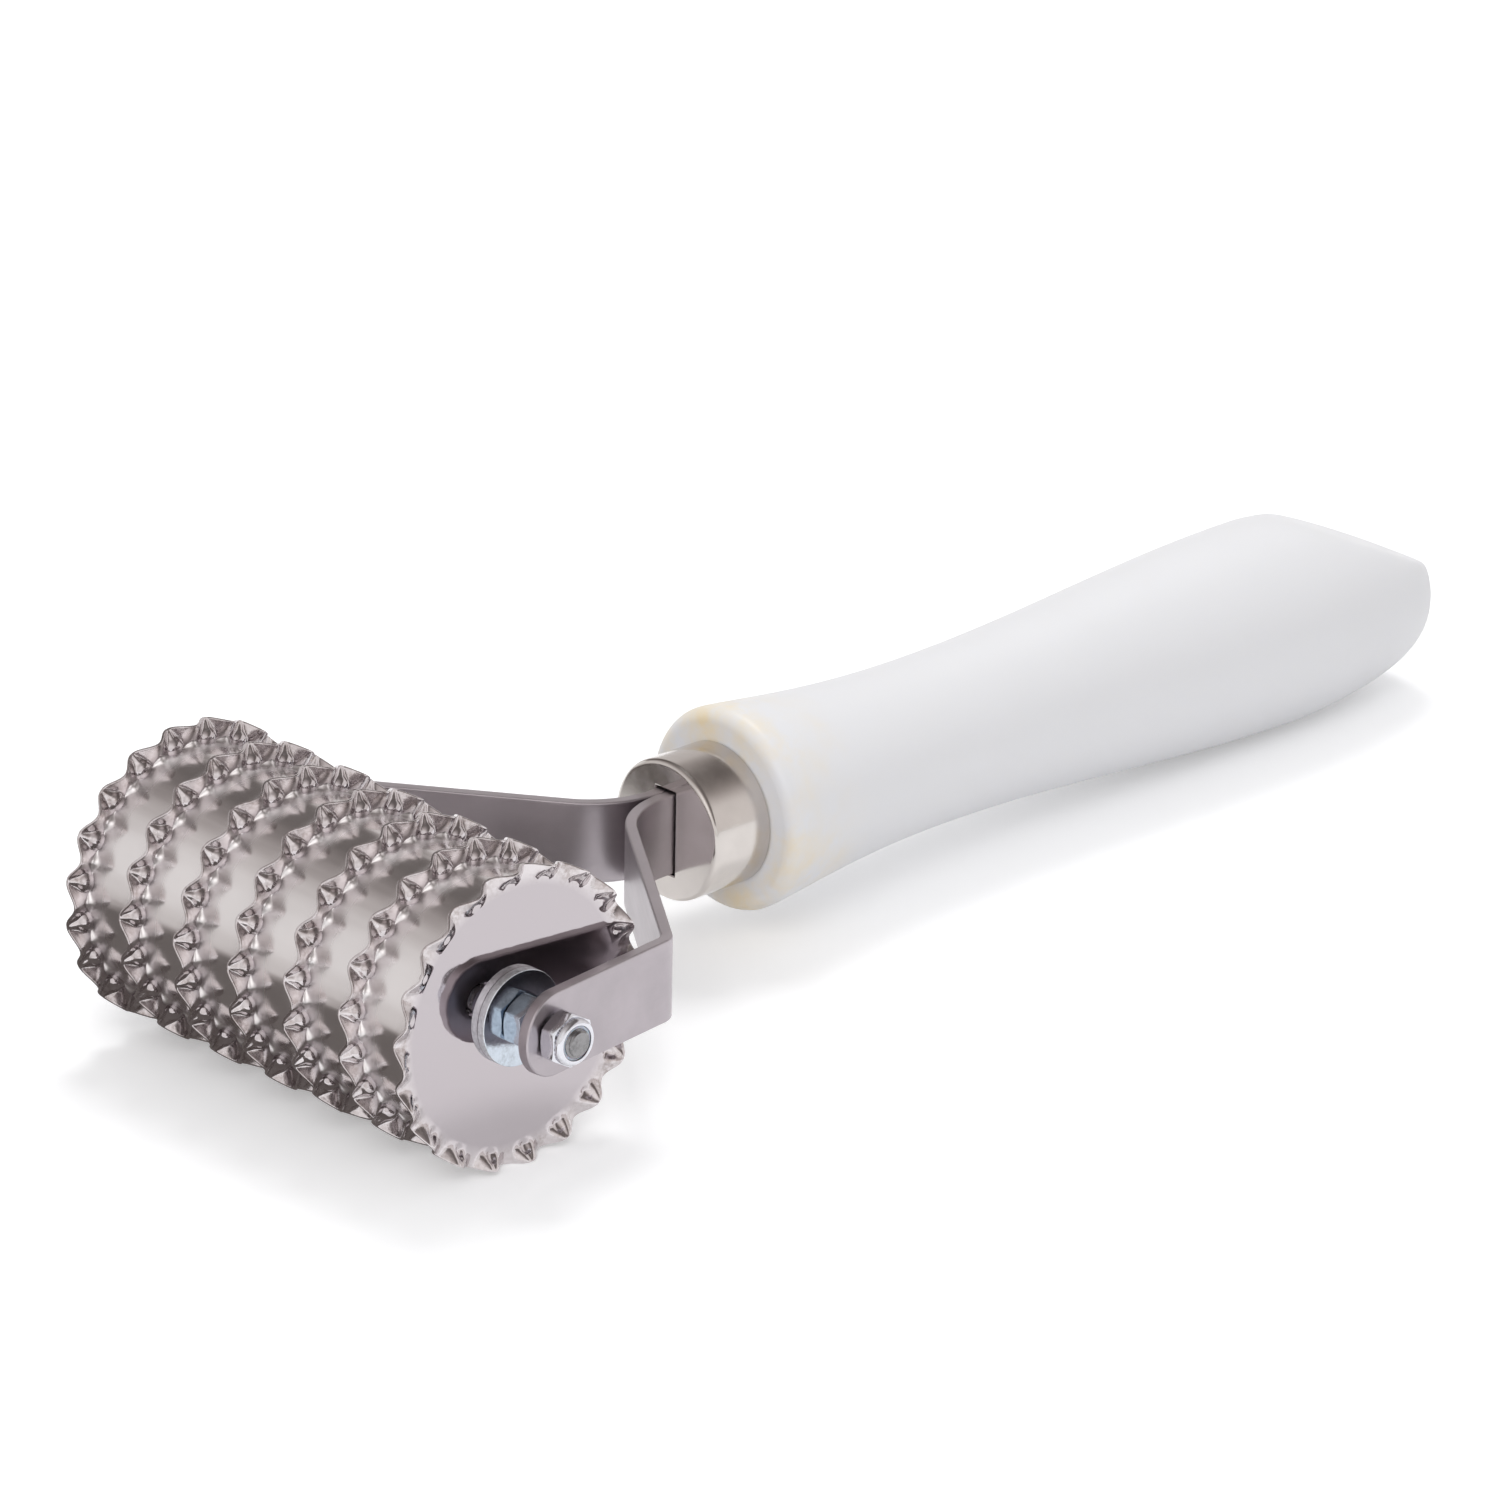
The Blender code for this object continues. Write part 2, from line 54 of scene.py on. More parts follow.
# Hub tube and its two bushes, hidden in the drum.
# The tube is drawn steel and carries all the wheels. A turned bronze bush is pressed
# into each end of it and runs on the plain rod.
MM = 0.001
HUB_COLOUR = (0.55, 0.55, 0.56)
BUSH_COLOUR = (0.62, 0.42, 0.20)
DRAWN_ROUGHNESS = 0.35
DRAWN_GLOSS = (0.28, 0.4375)
DRAWN_SHADE_SHARE = 0.85
DRAWN_PATCH_SCALE = 90.0
DRAWN_LINE_DEPTH = 0.02 * MM
GRAIN_SIZE = 0.4 * MM
GRAIN_LENGTH = 4.0 * MM
GRAIN_DETAIL = 2.0
GRAIN_ROUGHNESS = 0.5
CLOUD_ROUGHNESS = 0.6
CLOUD_DETAIL = 3.0
FINE_DETAIL = 4.0
CLOUD_LOW = 0.35
CLOUD_HIGH = 0.65


def add_node(tree, kind, inputs=None, **settings):
    """One shader node. An input is a plain value, or the output of another node."""
    made = tree.nodes.new(kind)
    for name, value in settings.items():
        setattr(made, name, value)
    for socket, value in (inputs or {}).items():
        if isinstance(value, bpy.types.NodeSocket):
            tree.links.new(value, made.inputs[socket])
        else:
            made.inputs[socket].default_value = value
    return made


def new_group(name, inputs, outputs):
    """An empty node group with float inputs (name, default) or vector ones, and float outputs."""
    tree = bpy.data.node_groups.new(name, "ShaderNodeTree")
    for title, value in inputs:
        kind = "NodeSocketVector" if isinstance(value, tuple) else "NodeSocketFloat"
        socket = tree.interface.new_socket(title, in_out="INPUT", socket_type=kind)
        socket.default_value = value
    for title in outputs:
        tree.interface.new_socket(title, in_out="OUTPUT", socket_type="NodeSocketFloat")
    return tree, tree.nodes.new("NodeGroupInput"), tree.nodes.new("NodeGroupOutput")


def share_between(tree, value, start, end):
    """0 where the value is at its start, 1 where it is at its end, and even between them."""
    share = add_node(
        tree, "ShaderNodeMapRange", {"Value": value, "From Min": start, "From Max": end})
    return share.outputs["Result"]


def make_smudge_group():
    """Soft cloudy patches: a slow noise, spread between 0 and 1 about its middle."""
    tree, given, result = new_group("smudges", [("Scale", 1.0), ("Detail", 1.0)], ["Mask"])
    place = add_node(tree, "ShaderNodeTexCoord")
    cloud = add_node(tree, "ShaderNodeTexNoise", {
        "Vector": place.outputs["Object"], "Scale": given.outputs["Scale"],
        "Detail": given.outputs["Detail"], "Roughness": CLOUD_ROUGHNESS})
    spread = share_between(tree, cloud.outputs["Fac"], CLOUD_LOW, CLOUD_HIGH)
    tree.links.new(spread, result.inputs["Mask"])
    return tree


def make_grain_group():
    """Drawing or brushing lines: a noise stretched along one axis by unlike scales."""
    tree, given, result = new_group("grain_lines", [("Stretch", (1.0, 1.0, 1.0))], ["Lines"])
    place = add_node(tree, "ShaderNodeTexCoord")
    stretched = add_node(tree, "ShaderNodeVectorMath", {
        0: place.outputs["Object"], 1: given.outputs["Stretch"]}, operation="MULTIPLY")
    lines = add_node(tree, "ShaderNodeTexNoise", {
        "Vector": stretched.outputs["Vector"], "Scale": 1.0, "Detail": GRAIN_DETAIL,
        "Roughness": GRAIN_ROUGHNESS})
    tree.links.new(lines.outputs["Fac"], result.inputs["Lines"])
    return tree


smudge_group = make_smudge_group()
grain_group = make_grain_group()


def smudges(tree, scale, detail=CLOUD_DETAIL):
    """The mask of the cloudy patches, with about as many to a metre as the scale says."""
    return add_node(
        tree, "ShaderNodeGroup", {"Scale": scale, "Detail": detail},
        node_tree=smudge_group).outputs["Mask"]


def grain_lines(tree, stretch):
    """The grain, with about as many lines to a metre along each axis as the stretch says."""
    return add_node(
        tree, "ShaderNodeGroup", {"Stretch": stretch}, node_tree=grain_group).outputs["Lines"]


def new_finish(name, roughness, metallic, others=None):
    """A material with its constant gloss and other values on the shader's own sockets."""
    material = bpy.data.materials.new(name)
    material.use_nodes = True
    shader = material.node_tree.nodes["Principled BSDF"]
    values = {"Roughness": roughness, "Metallic": metallic, **(others or {})}
    for socket, value in values.items():
        shader.inputs[socket].default_value = value
    return material, material.node_tree, shader


def spread_between(tree, mask, low, high):
    """A value that runs from low to high with a mask."""
    spread = add_node(tree, "ShaderNodeMapRange", {"Value": mask, "To Min": low, "To Max": high})
    return spread.outputs["Result"]


def blend_colours(tree, mask, first, second):
    """The first colour where the mask is 0, the second where it is 1, and an even mix between."""
    mixed = add_node(tree, "ShaderNodeMix", data_type="RGBA")
    tree.links.new(mask, mixed.inputs["Factor"])
    for socket, colour in (("A", first), ("B", second)):
        target = [s for s in mixed.inputs if s.name == socket and s.type == "RGBA"][0]
        if isinstance(colour, bpy.types.NodeSocket):
            tree.links.new(colour, target)
        else:
            target.default_value = (*colour, 1.0)
    return [s for s in mixed.outputs if s.type == "RGBA"][0]


def press_lines(tree, shader, height, depth):
    """Surface lines of a given depth in metres, felt through the normal."""
    bump = add_node(tree, "ShaderNodeBump", {"Height": height, "Distance": depth, "Strength": 1.0})
    tree.links.new(bump.outputs["Normal"], shader.inputs["Normal"])


def darker(colour, share):
    """Each part of the colour times the same share."""
    return tuple(part * share for part in colour)


def cloud_colour(tree, shader, patches, colour, share):
    """A colour that is darker by a share where the patches are 0."""
    mixed = blend_colours(tree, patches, darker(colour, share), colour)
    tree.links.new(mixed, shader.inputs["Base Color"])


def gloss_between(tree, shader, mask, low, high):
    """Roughness that runs from low to high with a mask."""
    tree.links.new(spread_between(tree, mask, low, high), shader.inputs["Roughness"])


def lined_metal(
        name, colour, stretch, roughness=DRAWN_ROUGHNESS, gloss=DRAWN_GLOSS,
        depth=DRAWN_LINE_DEPTH, scale=DRAWN_PATCH_SCALE, detail=CLOUD_DETAIL,
        shade_share=DRAWN_SHADE_SHARE, cloudy=False):
    """Metal with fine lines that are felt and a cloudy tone. The gloss follows the lines, or the
    clouds if it is cloudy. Values that aren't given are those of plain drawn metal."""
    material, tree, shader = new_finish(name, roughness, 1.0)
    lines = grain_lines(tree, stretch)
    patches = smudges(tree, scale, detail)
    cloud_colour(tree, shader, patches, colour, shade_share)
    gloss_between(tree, shader, patches if cloudy else lines, *gloss)
    press_lines(tree, shader, lines, depth)
    return material


LENGTHWISE_X = (1.0 / GRAIN_LENGTH, 1.0 / GRAIN_SIZE, 1.0 / GRAIN_SIZE)
ROUND_X = (1.0 / GRAIN_SIZE, 1.0 / GRAIN_LENGTH, 1.0 / GRAIN_LENGTH)
hub_steel = lined_metal("hub_steel", HUB_COLOUR, LENGTHWISE_X)
bush_bronze = lined_metal("bush_bronze", BUSH_COLOUR, ROUND_X)


def finish_node(node, material):
    """A solid of the frame whose shape is right: only its material changes."""
    piece = frame["nodes"][node]
    piece.data.materials.clear()
    piece.data.materials.append(material)


finish_node("hub_tube", hub_steel)
finish_node("bush_left", bush_bronze)
finish_node("bush_right", bush_bronze)


# Cutting wheels: seven stampings of thin nickel-plated sheet.
# The press crimps the rim into waves and pushes a round stud up from each hollow, beside the
# drum. The middle is a shallow pan on the end wheels; the last wheel faces back.
AXLE = np.array(frame["joints"][0]["pos_m"])
LIE = [m for m in frame["record"]["mounts"] if m["name"] == "butt_end"][0]["axis"]
WHEEL_COUNT = 7
WHEEL_PITCH = 13.0 * MM
WHEEL_RADIUS = AXLE[2]
DRUM_RADIUS = 21.2 * MM
WHEEL_BORE = 6.3 * MM
SHEET = 0.5 * MM
TOOTH_COUNT = 20
CRIMP_HEIGHT = 1.15 * MM
CRIMP_FOOT = 20.3 * MM
LAST_CRIMP_FOOT = 21.2 * MM
STUD_PLACE = 21.9 * MM
STUD_RADIUS = 1.6 * MM
STUD_TOP = 0.9 * MM
LAST_STUD_PLACE = 22.7 * MM
LAST_STUD_RADIUS = 1.15 * MM
LAST_STUD_TOP = 0.2 * MM
STUD_SIDE_SLOPE = 3.0
STUD_FILLET = 0.3 * MM
HORN_WIDTH = 1.05 * MM
HORN_TIP_WIDTH = 0.2 * MM
HORN_FOOT_SHARE = 0.5
PAN_ONSET = 1.5 * MM
PAN_DEPTH = 0.95 * MM
HIDDEN_PAN_FOOT = 18.7 * MM
RIM_ROUNDING = 0.17 * MM
STEPS_PER_TOOTH = 36
FOOT_ROWS = 8
RIM_ROWS = 36
EDGE_ROWS = 8
STEEPEST_LEAN = 1.35
MERGE_DISTANCE = 0.0005 * MM
WHEEL_TURNS = [-0.8, 3.7, 3.0, 3.7, -1.5, 1.5, 4.5]
# Painted shade: the flat middle's nickel is darker than the rim's, to dim the bright table it mirrors.
SHADED_FLAT_NICKEL = (0.51, 0.47, 0.49)
NICKEL = (0.70, 0.66, 0.67)
NICKEL_STAIN = (0.32, 0.26, 0.24)
NICKEL_ROUGHNESS = 0.12
FLAT_ROUGHNESS = 0.045
RIM_GLOSS = (0.10, 0.20)
STAIN_SCALE = 200.0
STAIN_SHARE = 0.7
PIT_SCALE = 1300.0
PIT_DEPTH = 0.008 * MM


def in_place(points):
    """Tool coordinates (across, along, up from the axle) to the frame, where the tool leans
    back on its handle: the along axis runs to the butt."""
    along = np.array(LIE)
    across = np.array([1.0, 0.0, 0.0])
    up = np.cross(across, along)
    return AXLE + points @ np.array([across, along, up])


def full_circle(steps):
    """Even turns all round, from 0."""
    return np.linspace(0.0, 2 * np.pi, steps, endpoint=False)


def about_axle(turns, across, radius):
    """Grid of (across, radius * cos(turn), radius * sin(turn)), with a row for each turn."""
    return np.stack(np.broadcast_arrays(
        across, radius * np.cos(turns)[:, None], radius * np.sin(turns)[:, None]), axis=-1)


def number_points(grid):
    """A number for each point of a grid of shape (m, n, 3), row by row."""
    return np.arange(grid[..., 0].size).reshape(grid.shape[:2])


def grid_faces(index):
    """A four-cornered face between each two rows and columns of a grid of point numbers."""
    return np.stack(
        [index[:-1, :-1], index[1:, :-1], index[1:, 1:], index[:-1, 1:]], axis=-1).reshape(-1, 4)


def joined_mesh(name, points, faces, merge_distance):
    """A mesh from points in tool coordinates. Doubled points merge, and faces turn outwards."""
    mesh = bpy.data.meshes.new(name)
    mesh.from_pydata(in_place(points), [], faces.tolist())
    bm = bmesh.new()
    bm.from_mesh(mesh)
    bmesh.ops.remove_doubles(bm, verts=bm.verts, dist=merge_distance)
    bmesh.ops.recalc_face_normals(bm, faces=bm.faces)
    bm.to_mesh(mesh)
    bm.free()
    mesh.shade_smooth()
    return mesh


def add_object(name, data):
    """An object in the scene, at the origin."""
    made = bpy.data.objects.new(name, data)
    bpy.context.scene.collection.objects.link(made)
    return made


def new_piece(name, mesh, material):
    """An object with its place in its mesh."""
    mesh.materials.append(material)
    return add_object(name, mesh)


def lay_grid(name, grid, material, ring=True):
    """A piece from a grid of points. Its last row joins its first, and if it is a ring, its last
    column joins its first too."""
    index = number_points(grid)
    index = np.vstack([index, index[:1]])
    if ring:
        index = np.hstack([index, index[:, :1]])
    mesh = joined_mesh(name, grid.reshape(-1, 3), grid_faces(index), MERGE_DISTANCE)
    return new_piece(name, mesh, material)


def stand_for(piece, body, slot, *nodes):
    """A new piece takes the place of solids of the frame, and moves with their body."""
    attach(piece, body)
    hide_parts(*nodes)


def smooth_step(share):
    """3s^2 - 2s^3, held at 0 below and 1 above."""
    held = np.clip(share, 0.0, 1.0)
    return held * held * (3.0 - 2.0 * held)


def stamping(number):
    """Which way a wheel faces, the turn of its first high wave, the radius where its crimp
    starts, and the depth and outer radius of its pan."""
    last = number == WHEEL_COUNT
    phase = math.radians(WHEEL_TURNS[number - 1])
    pan = PAN_DEPTH if number in (1, WHEEL_COUNT) else 0.0
    if last:
        return -1, phase + math.pi / TOOTH_COUNT, LAST_CRIMP_FOOT, pan, LAST_CRIMP_FOOT
    return 1, phase, CRIMP_FOOT, pan, HIDDEN_PAN_FOOT


def sheet_height(number, turn, radius):
    """Height of the sheet's middle over the wheel's plane, for arrays of turn and radius.
    Crimp: height * cos(teeth * turn), under a smooth step from its foot to the rim. Horn: a
    ridge exp(-(off / width)^2) in each low wave that falls and narrows evenly to the rim.
    Stud: a ball at its foot, joined by the soft maximum (a + b + sqrt((a - b)^2 + fillet^2)) / 2.
    Pan: a flat middle, let down by a smooth step, on the last wheel by that of the crimp."""
    _, phase, crimp_foot, pan, pan_foot = stamping(number)
    place, size, top = STUD_PLACE, STUD_RADIUS, STUD_TOP
    if number == WHEEL_COUNT:
        place, size, top = LAST_STUD_PLACE, LAST_STUD_RADIUS, LAST_STUD_TOP
    wave = TOOTH_COUNT * (turn - phase)
    rise = smooth_step((radius - crimp_foot) / (WHEEL_RADIUS - crimp_foot))
    off = radius * (np.mod(wave, 2 * np.pi) - np.pi) / TOOTH_COUNT
    reach = np.clip((radius - place) / (WHEEL_RADIUS - place), 0.0, 1.0)
    width = HORN_WIDTH + (HORN_TIP_WIDTH - HORN_WIDTH) * reach
    ridge = (1.0 - reach) * np.exp(-(off / width) ** 2)
    horn = (top * HORN_FOOT_SHARE + CRIMP_HEIGHT * rise) * ridge
    sheet = CRIMP_HEIGHT * np.cos(wave) * rise + horn * smooth_step((radius - place + size) / size)
    away = np.hypot(off, radius - place)
    ball = top - size + np.where(
        away < size, np.sqrt(np.clip(size ** 2 - away ** 2, 0.0, None)),
        STUD_SIDE_SLOPE * (size - away))
    joined = (sheet + ball + np.sqrt((sheet - ball) ** 2 + STUD_FILLET ** 2)) / 2
    near = smooth_step((2.0 * size - away) / size)
    shaped = sheet + (joined - sheet) * near
    level = rise if number == WHEEL_COUNT else smooth_step((radius - pan_foot) / PAN_ONSET)
    return shaped + pan * (1.0 - level)


def wheel_grid(number):
    """Both faces of the stamping and its rounded cut edges, as one grid round the axle. A face
    lies half a sheet from the middle, times sqrt(1 + slope out^2 + slope round^2), so that the
    sheet is as thick where it leans. Rings close to the bore and to the pan's foot keep the flat
    middle a true mirror."""
    facing, _, _, _, pan_foot = stamping(number)
    turns = full_circle(TOOTH_COUNT * STEPS_PER_TOOTH)
    inner = np.array([
        WHEEL_BORE, WHEEL_BORE + SHEET / 8, WHEEL_BORE + SHEET, pan_foot - SHEET, pan_foot])
    rim_start = max(pan_foot + SHEET / 2, DRUM_RADIUS - SHEET)
    foot = np.linspace(pan_foot, rim_start, FOOT_ROWS)[1:]
    rim = np.linspace(rim_start, WHEEL_RADIUS - RIM_ROUNDING, RIM_ROWS)[1:]
    radii = np.concatenate([inner, foot, rim])
    turn, radius = np.meshgrid(turns, radii, indexing="ij")
    height = sheet_height(number, turn, radius)
    slope_out = np.gradient(height, radii, axis=1)
    ahead = np.roll(height, -1, axis=0)
    behind = np.roll(height, 1, axis=0)
    slope_round = (ahead - behind) / (2 * (turns[1] - turns[0]) * radius)
    lean = np.minimum(np.sqrt(1.0 + slope_out ** 2 + slope_round ** 2), STEEPEST_LEAN)
    half = SHEET / 2 * lean
    bow = np.linspace(0.0, np.pi, EDGE_ROWS)[1:-1]
    edge = height[:, -1:] + half[:, -1:] * np.cos(bow)
    edge_radius = np.broadcast_to(radii[-1] + RIM_ROUNDING * np.sin(bow), edge.shape)
    heights = np.hstack([height + half, edge, (height - half)[:, ::-1]])
    spans = np.hstack([radius, edge_radius, radius[:, ::-1]])
    return about_axle(turns, wheel_place(number) + facing * heights, spans)


def calculate(tree, operation, *values):
    """What one operation makes of masks or values."""
    made = add_node(tree, "ShaderNodeMath", dict(enumerate(values)), operation=operation)
    return made.outputs["Value"]


def multiply(tree, first, second):
    """The product of two masks or values."""
    return calculate(tree, "MULTIPLY", first, second)


def distance_from_axle(tree):
    """Distance of a point of the surface from the axle's line, in metres."""
    place = add_node(tree, "ShaderNodeTexCoord")
    flat = add_node(tree, "ShaderNodeVectorMath", {
        0: place.outputs["Object"], 1: (0.0, 1.0, 1.0)}, operation="MULTIPLY")
    away = add_node(tree, "ShaderNodeVectorMath", {
        0: flat.outputs["Vector"], 1: (0.0, AXLE[1], AXLE[2])}, operation="DISTANCE")
    return away.outputs["Value"]


def plated_stamping():
    """Bright nickel over steel: a plain mirror on the flat middle, and on the crimped rim brown
    stain in patches, small pits from the press, and gloss that changes in patches."""
    material, tree, shader = new_finish("wheel_nickel", NICKEL_ROUGHNESS, 1.0)
    on_rim = share_between(
        tree, distance_from_axle(tree), DRUM_RADIUS, WHEEL_RADIUS - PAN_ONSET)
    patches = smudges(tree, STAIN_SCALE, FINE_DETAIL)
    pits = smudges(tree, PIT_SCALE)
    stain = spread_between(tree, multiply(tree, patches, pits), 0.0, STAIN_SHARE)
    # Painted shade: the flat middle takes the darker nickel, the rim the plain one.
    plain = blend_colours(tree, on_rim, SHADED_FLAT_NICKEL, NICKEL)
    tree.links.new(
        blend_colours(tree, multiply(tree, on_rim, stain), plain, NICKEL_STAIN),
        shader.inputs["Base Color"])
    rim_gloss = multiply(tree, on_rim, spread_between(tree, patches, *RIM_GLOSS))
    gloss = calculate(tree, "MAXIMUM", rim_gloss, FLAT_ROUGHNESS)
    tree.links.new(gloss, shader.inputs["Roughness"])
    press_lines(tree, shader, multiply(tree, pits, on_rim), PIT_DEPTH)
    return material


def wheel_place(number):
    """Distance across from the tool's middle: the wheels stand a pitch apart about it."""
    return (number - (WHEEL_COUNT + 1) / 2) * WHEEL_PITCH


wheel_nickel = plated_stamping()
for number in range(1, WHEEL_COUNT + 1):
    wheel = lay_grid(f"cutting_wheel_{number}", wheel_grid(number), wheel_nickel)
    stand_for(wheel, "rotor", "wheel_nickel", f"wheel_{number}")


# Drum: six lengths of nickel-plated steel tube between the wheels.
# Each is turned to one length, polished to a mirror and clamped between two stampings, so
# only faint lines from the lathe run round it.
DRUM_WALL = 1.0 * MM
DRUM_EDGE = 0.02 * MM
DRUM_SEAT = 0.04 * MM
DRUM_STEPS = 640
DRUM_COLOUR = (0.85, 0.82, 0.82)
DRUM_SHADE_SHARE = 0.95
DRUM_PATCH_SCALE = 70.0
DRUM_GLOSS = (0.10, 0.17)
LATHE_LINES = (6000.0, 20.0, 20.0)
LATHE_LINE_DEPTH = 0.001 * MM
DULL_BAND = 5.0 * MM
DULL_CORE = 2.0 * MM
DULL_ROUGHNESS = 0.25
FLARE = 1.2 * MM
FLARE_SHARES = (1.0, 0.9, 0.75, 0.6, 0.45, 0.3, 0.15, 0.0)


def turn_about_axle(outline, steps):
    """A closed outline of (across, radius) points carried round the axle. Both may change with
    the turn."""
    across, radius = (
        np.stack([np.broadcast_to(spot[part], steps) for spot in outline], axis=-1)
        for part in (0, 1))
    return about_axle(full_circle(steps), across, radius)


def seat_on_wheel(number, side, radius):
    """Where a tube of this radius meets a wheel's sheet, all round: the sheet's middle and half
    the sheet, less what the clamped end bites into it. Side is +1 on the wheel's right."""
    turns = full_circle(DRUM_STEPS)
    middle = wheel_place(number) + stamping(number)[0] * sheet_height(number, turns, radius)
    return middle + side * (SHEET / 2 - DRUM_SEAT)


def polished_tube():
    """Mirror plate with fine lines round it, duller beside the wheels, where no buff reaches.
    The fold of the distance across is 0 in a wheel's middle and half a pitch between wheels."""
    material, tree, shader = new_finish("drum_nickel", DRUM_GLOSS[0], 1.0)
    lines = grain_lines(tree, LATHE_LINES)
    patches = smudges(tree, DRUM_PATCH_SCALE)
    cloud_colour(tree, shader, patches, DRUM_COLOUR, DRUM_SHADE_SHARE)
    place = add_node(tree, "ShaderNodeTexCoord").outputs["Object"]
    across = add_node(tree, "ShaderNodeSeparateXYZ", {"Vector": place}).outputs["X"]
    fold = calculate(tree, "PINGPONG", across, WHEEL_PITCH / 2)
    dull = share_between(tree, fold, DULL_BAND, DULL_CORE)
    gloss = spread_between(tree, lines, *DRUM_GLOSS)
    total = calculate(tree, "MULTIPLY_ADD", dull, DULL_ROUGHNESS, gloss)
    tree.links.new(total, shader.inputs["Roughness"])
    press_lines(tree, shader, lines, LATHE_LINE_DEPTH)
    return material


def drum_end(number, side):
    """Points up to a wheel: the bore's edge, then a hollow quarter circle that flares out where
    the wave leans over the drum. Radius = drum + flare * (1 - sqrt(1 - share^2))."""
    turns = full_circle(DRUM_STEPS)
    facing, phase = stamping(number)[:2]
    lean = 0.5 + 0.5 * side * facing * np.cos(TOOTH_COUNT * (turns - phase))
    flare = FLARE * lean ** 2 + DRUM_EDGE
    inside = np.full(DRUM_STEPS, DRUM_RADIUS - DRUM_WALL)
    seat = seat_on_wheel(number, side, DRUM_RADIUS + flare)
    points = [(seat_on_wheel(number, side, inside), DRUM_RADIUS - DRUM_WALL)]
    for share in FLARE_SHARES:
        points.append((
            seat + side * flare * (1.0 - share),
            DRUM_RADIUS + flare * (1.0 - math.sqrt(1.0 - share ** 2))))
    return points


drum_nickel = polished_tube()
for number in range(1, WHEEL_COUNT):
    outline = drum_end(number, 1) + drum_end(number + 1, -1)[::-1]
    drum = lay_grid(f"drum_length_{number}", turn_about_axle(outline, DRUM_STEPS), drum_nickel)
    stand_for(drum, "rotor", "drum_nickel", f"drum_section_{number}")


# Axle: a length of M5 threaded rod in zinc-plated steel.
# The thread is rolled on, so its crests are round, and both ends are cut and chamfered.
ROD_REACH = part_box("axle_rod")[1].x
ROD_RADIUS = 2.45 * MM
THREAD_PITCH = 0.8 * MM
THREAD_DEPTH = 0.42 * MM
THREAD_START = 33.0 * MM
ROD_CHAMFER = 0.55 * MM
CUT_FACE_SHARES = np.array([0.97, 0.9, 0.45, 0.0])
CUT_FACE_DEPTHS = np.array([0.0, 0.02, 0.05, 0.03]) * MM
ROWS_PER_PITCH = 10
ROD_STEPS = 48
ZINC = (0.60, 0.66, 0.73)
ZINC_ROUGHNESS = 0.12
ZINC_MOTTLE = 0.5
ZINC_GLOSS_SHARES = (0.75, 1.3)
ZINC_SHADE_SHARE = 0.5
ZINC_PATCH_SCALE = 350.0
ZINC_PATCH_DETAIL = 5.0
ZINC_GRAIN_SCALE = 1800.0
ZINC_GRAIN_DEPTH = 0.006 * MM
ROD_ZINC = (0.30, 0.295, 0.30)
ROD_ROUGHNESS = 0.26
ROD_MOTTLE = 0.9


def rod_grid():
    """Radius = crest - depth * (1 - cos(2 pi (across / pitch - share of the turn))) / 2, limited
    by the chamfer, and closed at both ends by a slightly sunk cut face."""
    count = int((ROD_REACH - THREAD_START) / THREAD_PITCH * ROWS_PER_PITCH)
    side = np.linspace(THREAD_START, ROD_REACH, count)
    across = np.concatenate([-side[::-1], side])
    turns = full_circle(ROD_STEPS)
    saw = np.mod(across / THREAD_PITCH - turns[:, None] / (2 * np.pi), 1.0)
    wave = 0.5 - 0.5 * np.cos(2 * np.pi * saw)
    chamfer = ROD_RADIUS - ROD_CHAMFER + (ROD_REACH - np.abs(across))
    radius = np.minimum(ROD_RADIUS - THREAD_DEPTH * wave, chamfer)
    left_face = (radius[:, :1] * CUT_FACE_SHARES)[:, ::-1]
    right_face = radius[:, -1:] * CUT_FACE_SHARES
    face_across = ROD_REACH - CUT_FACE_DEPTHS
    radius = np.hstack([left_face, radius, right_face])
    across = np.concatenate([-face_across[::-1], across, face_across])
    return about_axle(turns, across, radius)


def zinc_plate(name, colour, roughness, mottle, depth=ZINC_GRAIN_DEPTH):
    """Bright zinc with a bluish cast, dull and mottled where it has rubbed or aged."""
    material, tree, shader = new_finish(name, roughness, 1.0)
    patches = smudges(tree, ZINC_PATCH_SCALE, ZINC_PATCH_DETAIL)
    grain = smudges(tree, ZINC_GRAIN_SCALE)
    dulled = spread_between(tree, multiply(tree, patches, grain), 0.0, mottle)
    tree.links.new(
        blend_colours(tree, dulled, colour, darker(colour, ZINC_SHADE_SHARE)),
        shader.inputs["Base Color"])
    gloss_between(tree, shader, patches, *(roughness * share for share in ZINC_GLOSS_SHARES))
    press_lines(tree, shader, grain, depth)
    return material


zinc = zinc_plate("zinc", ZINC, ZINC_ROUGHNESS, ZINC_MOTTLE)
rod_zinc = zinc_plate("rod_zinc", ROD_ZINC, ROD_ROUGHNESS, ROD_MOTTLE)
rod = lay_grid("threaded_rod", rod_grid(), rod_zinc, ring=False)
stand_for(rod, "handle_and_yoke", "zinc", "axle_rod")


# Washers: a large flat washer at each side, stamped from zinc-plated steel.
# The press leaves its rim rough and its corners slightly round. It all but touches the wheel.
WASHER_RADIUS = 7.95 * MM
WASHER_BORE = 2.8 * MM
WASHER_CORNER = 0.16 * MM
WASHER_SEAT = 0.3 * MM
WASHER_STEPS = 128
CUT_ZINC = (0.84, 0.87, 0.90)
CUT_ROUGHNESS = 0.42
CUT_MOTTLE = 0.9
CUT_MARK_DEPTH = 0.04 * MM


def unit(vector):
    """A vector of length 1 with the same direction."""
    return vector / np.linalg.norm(vector)


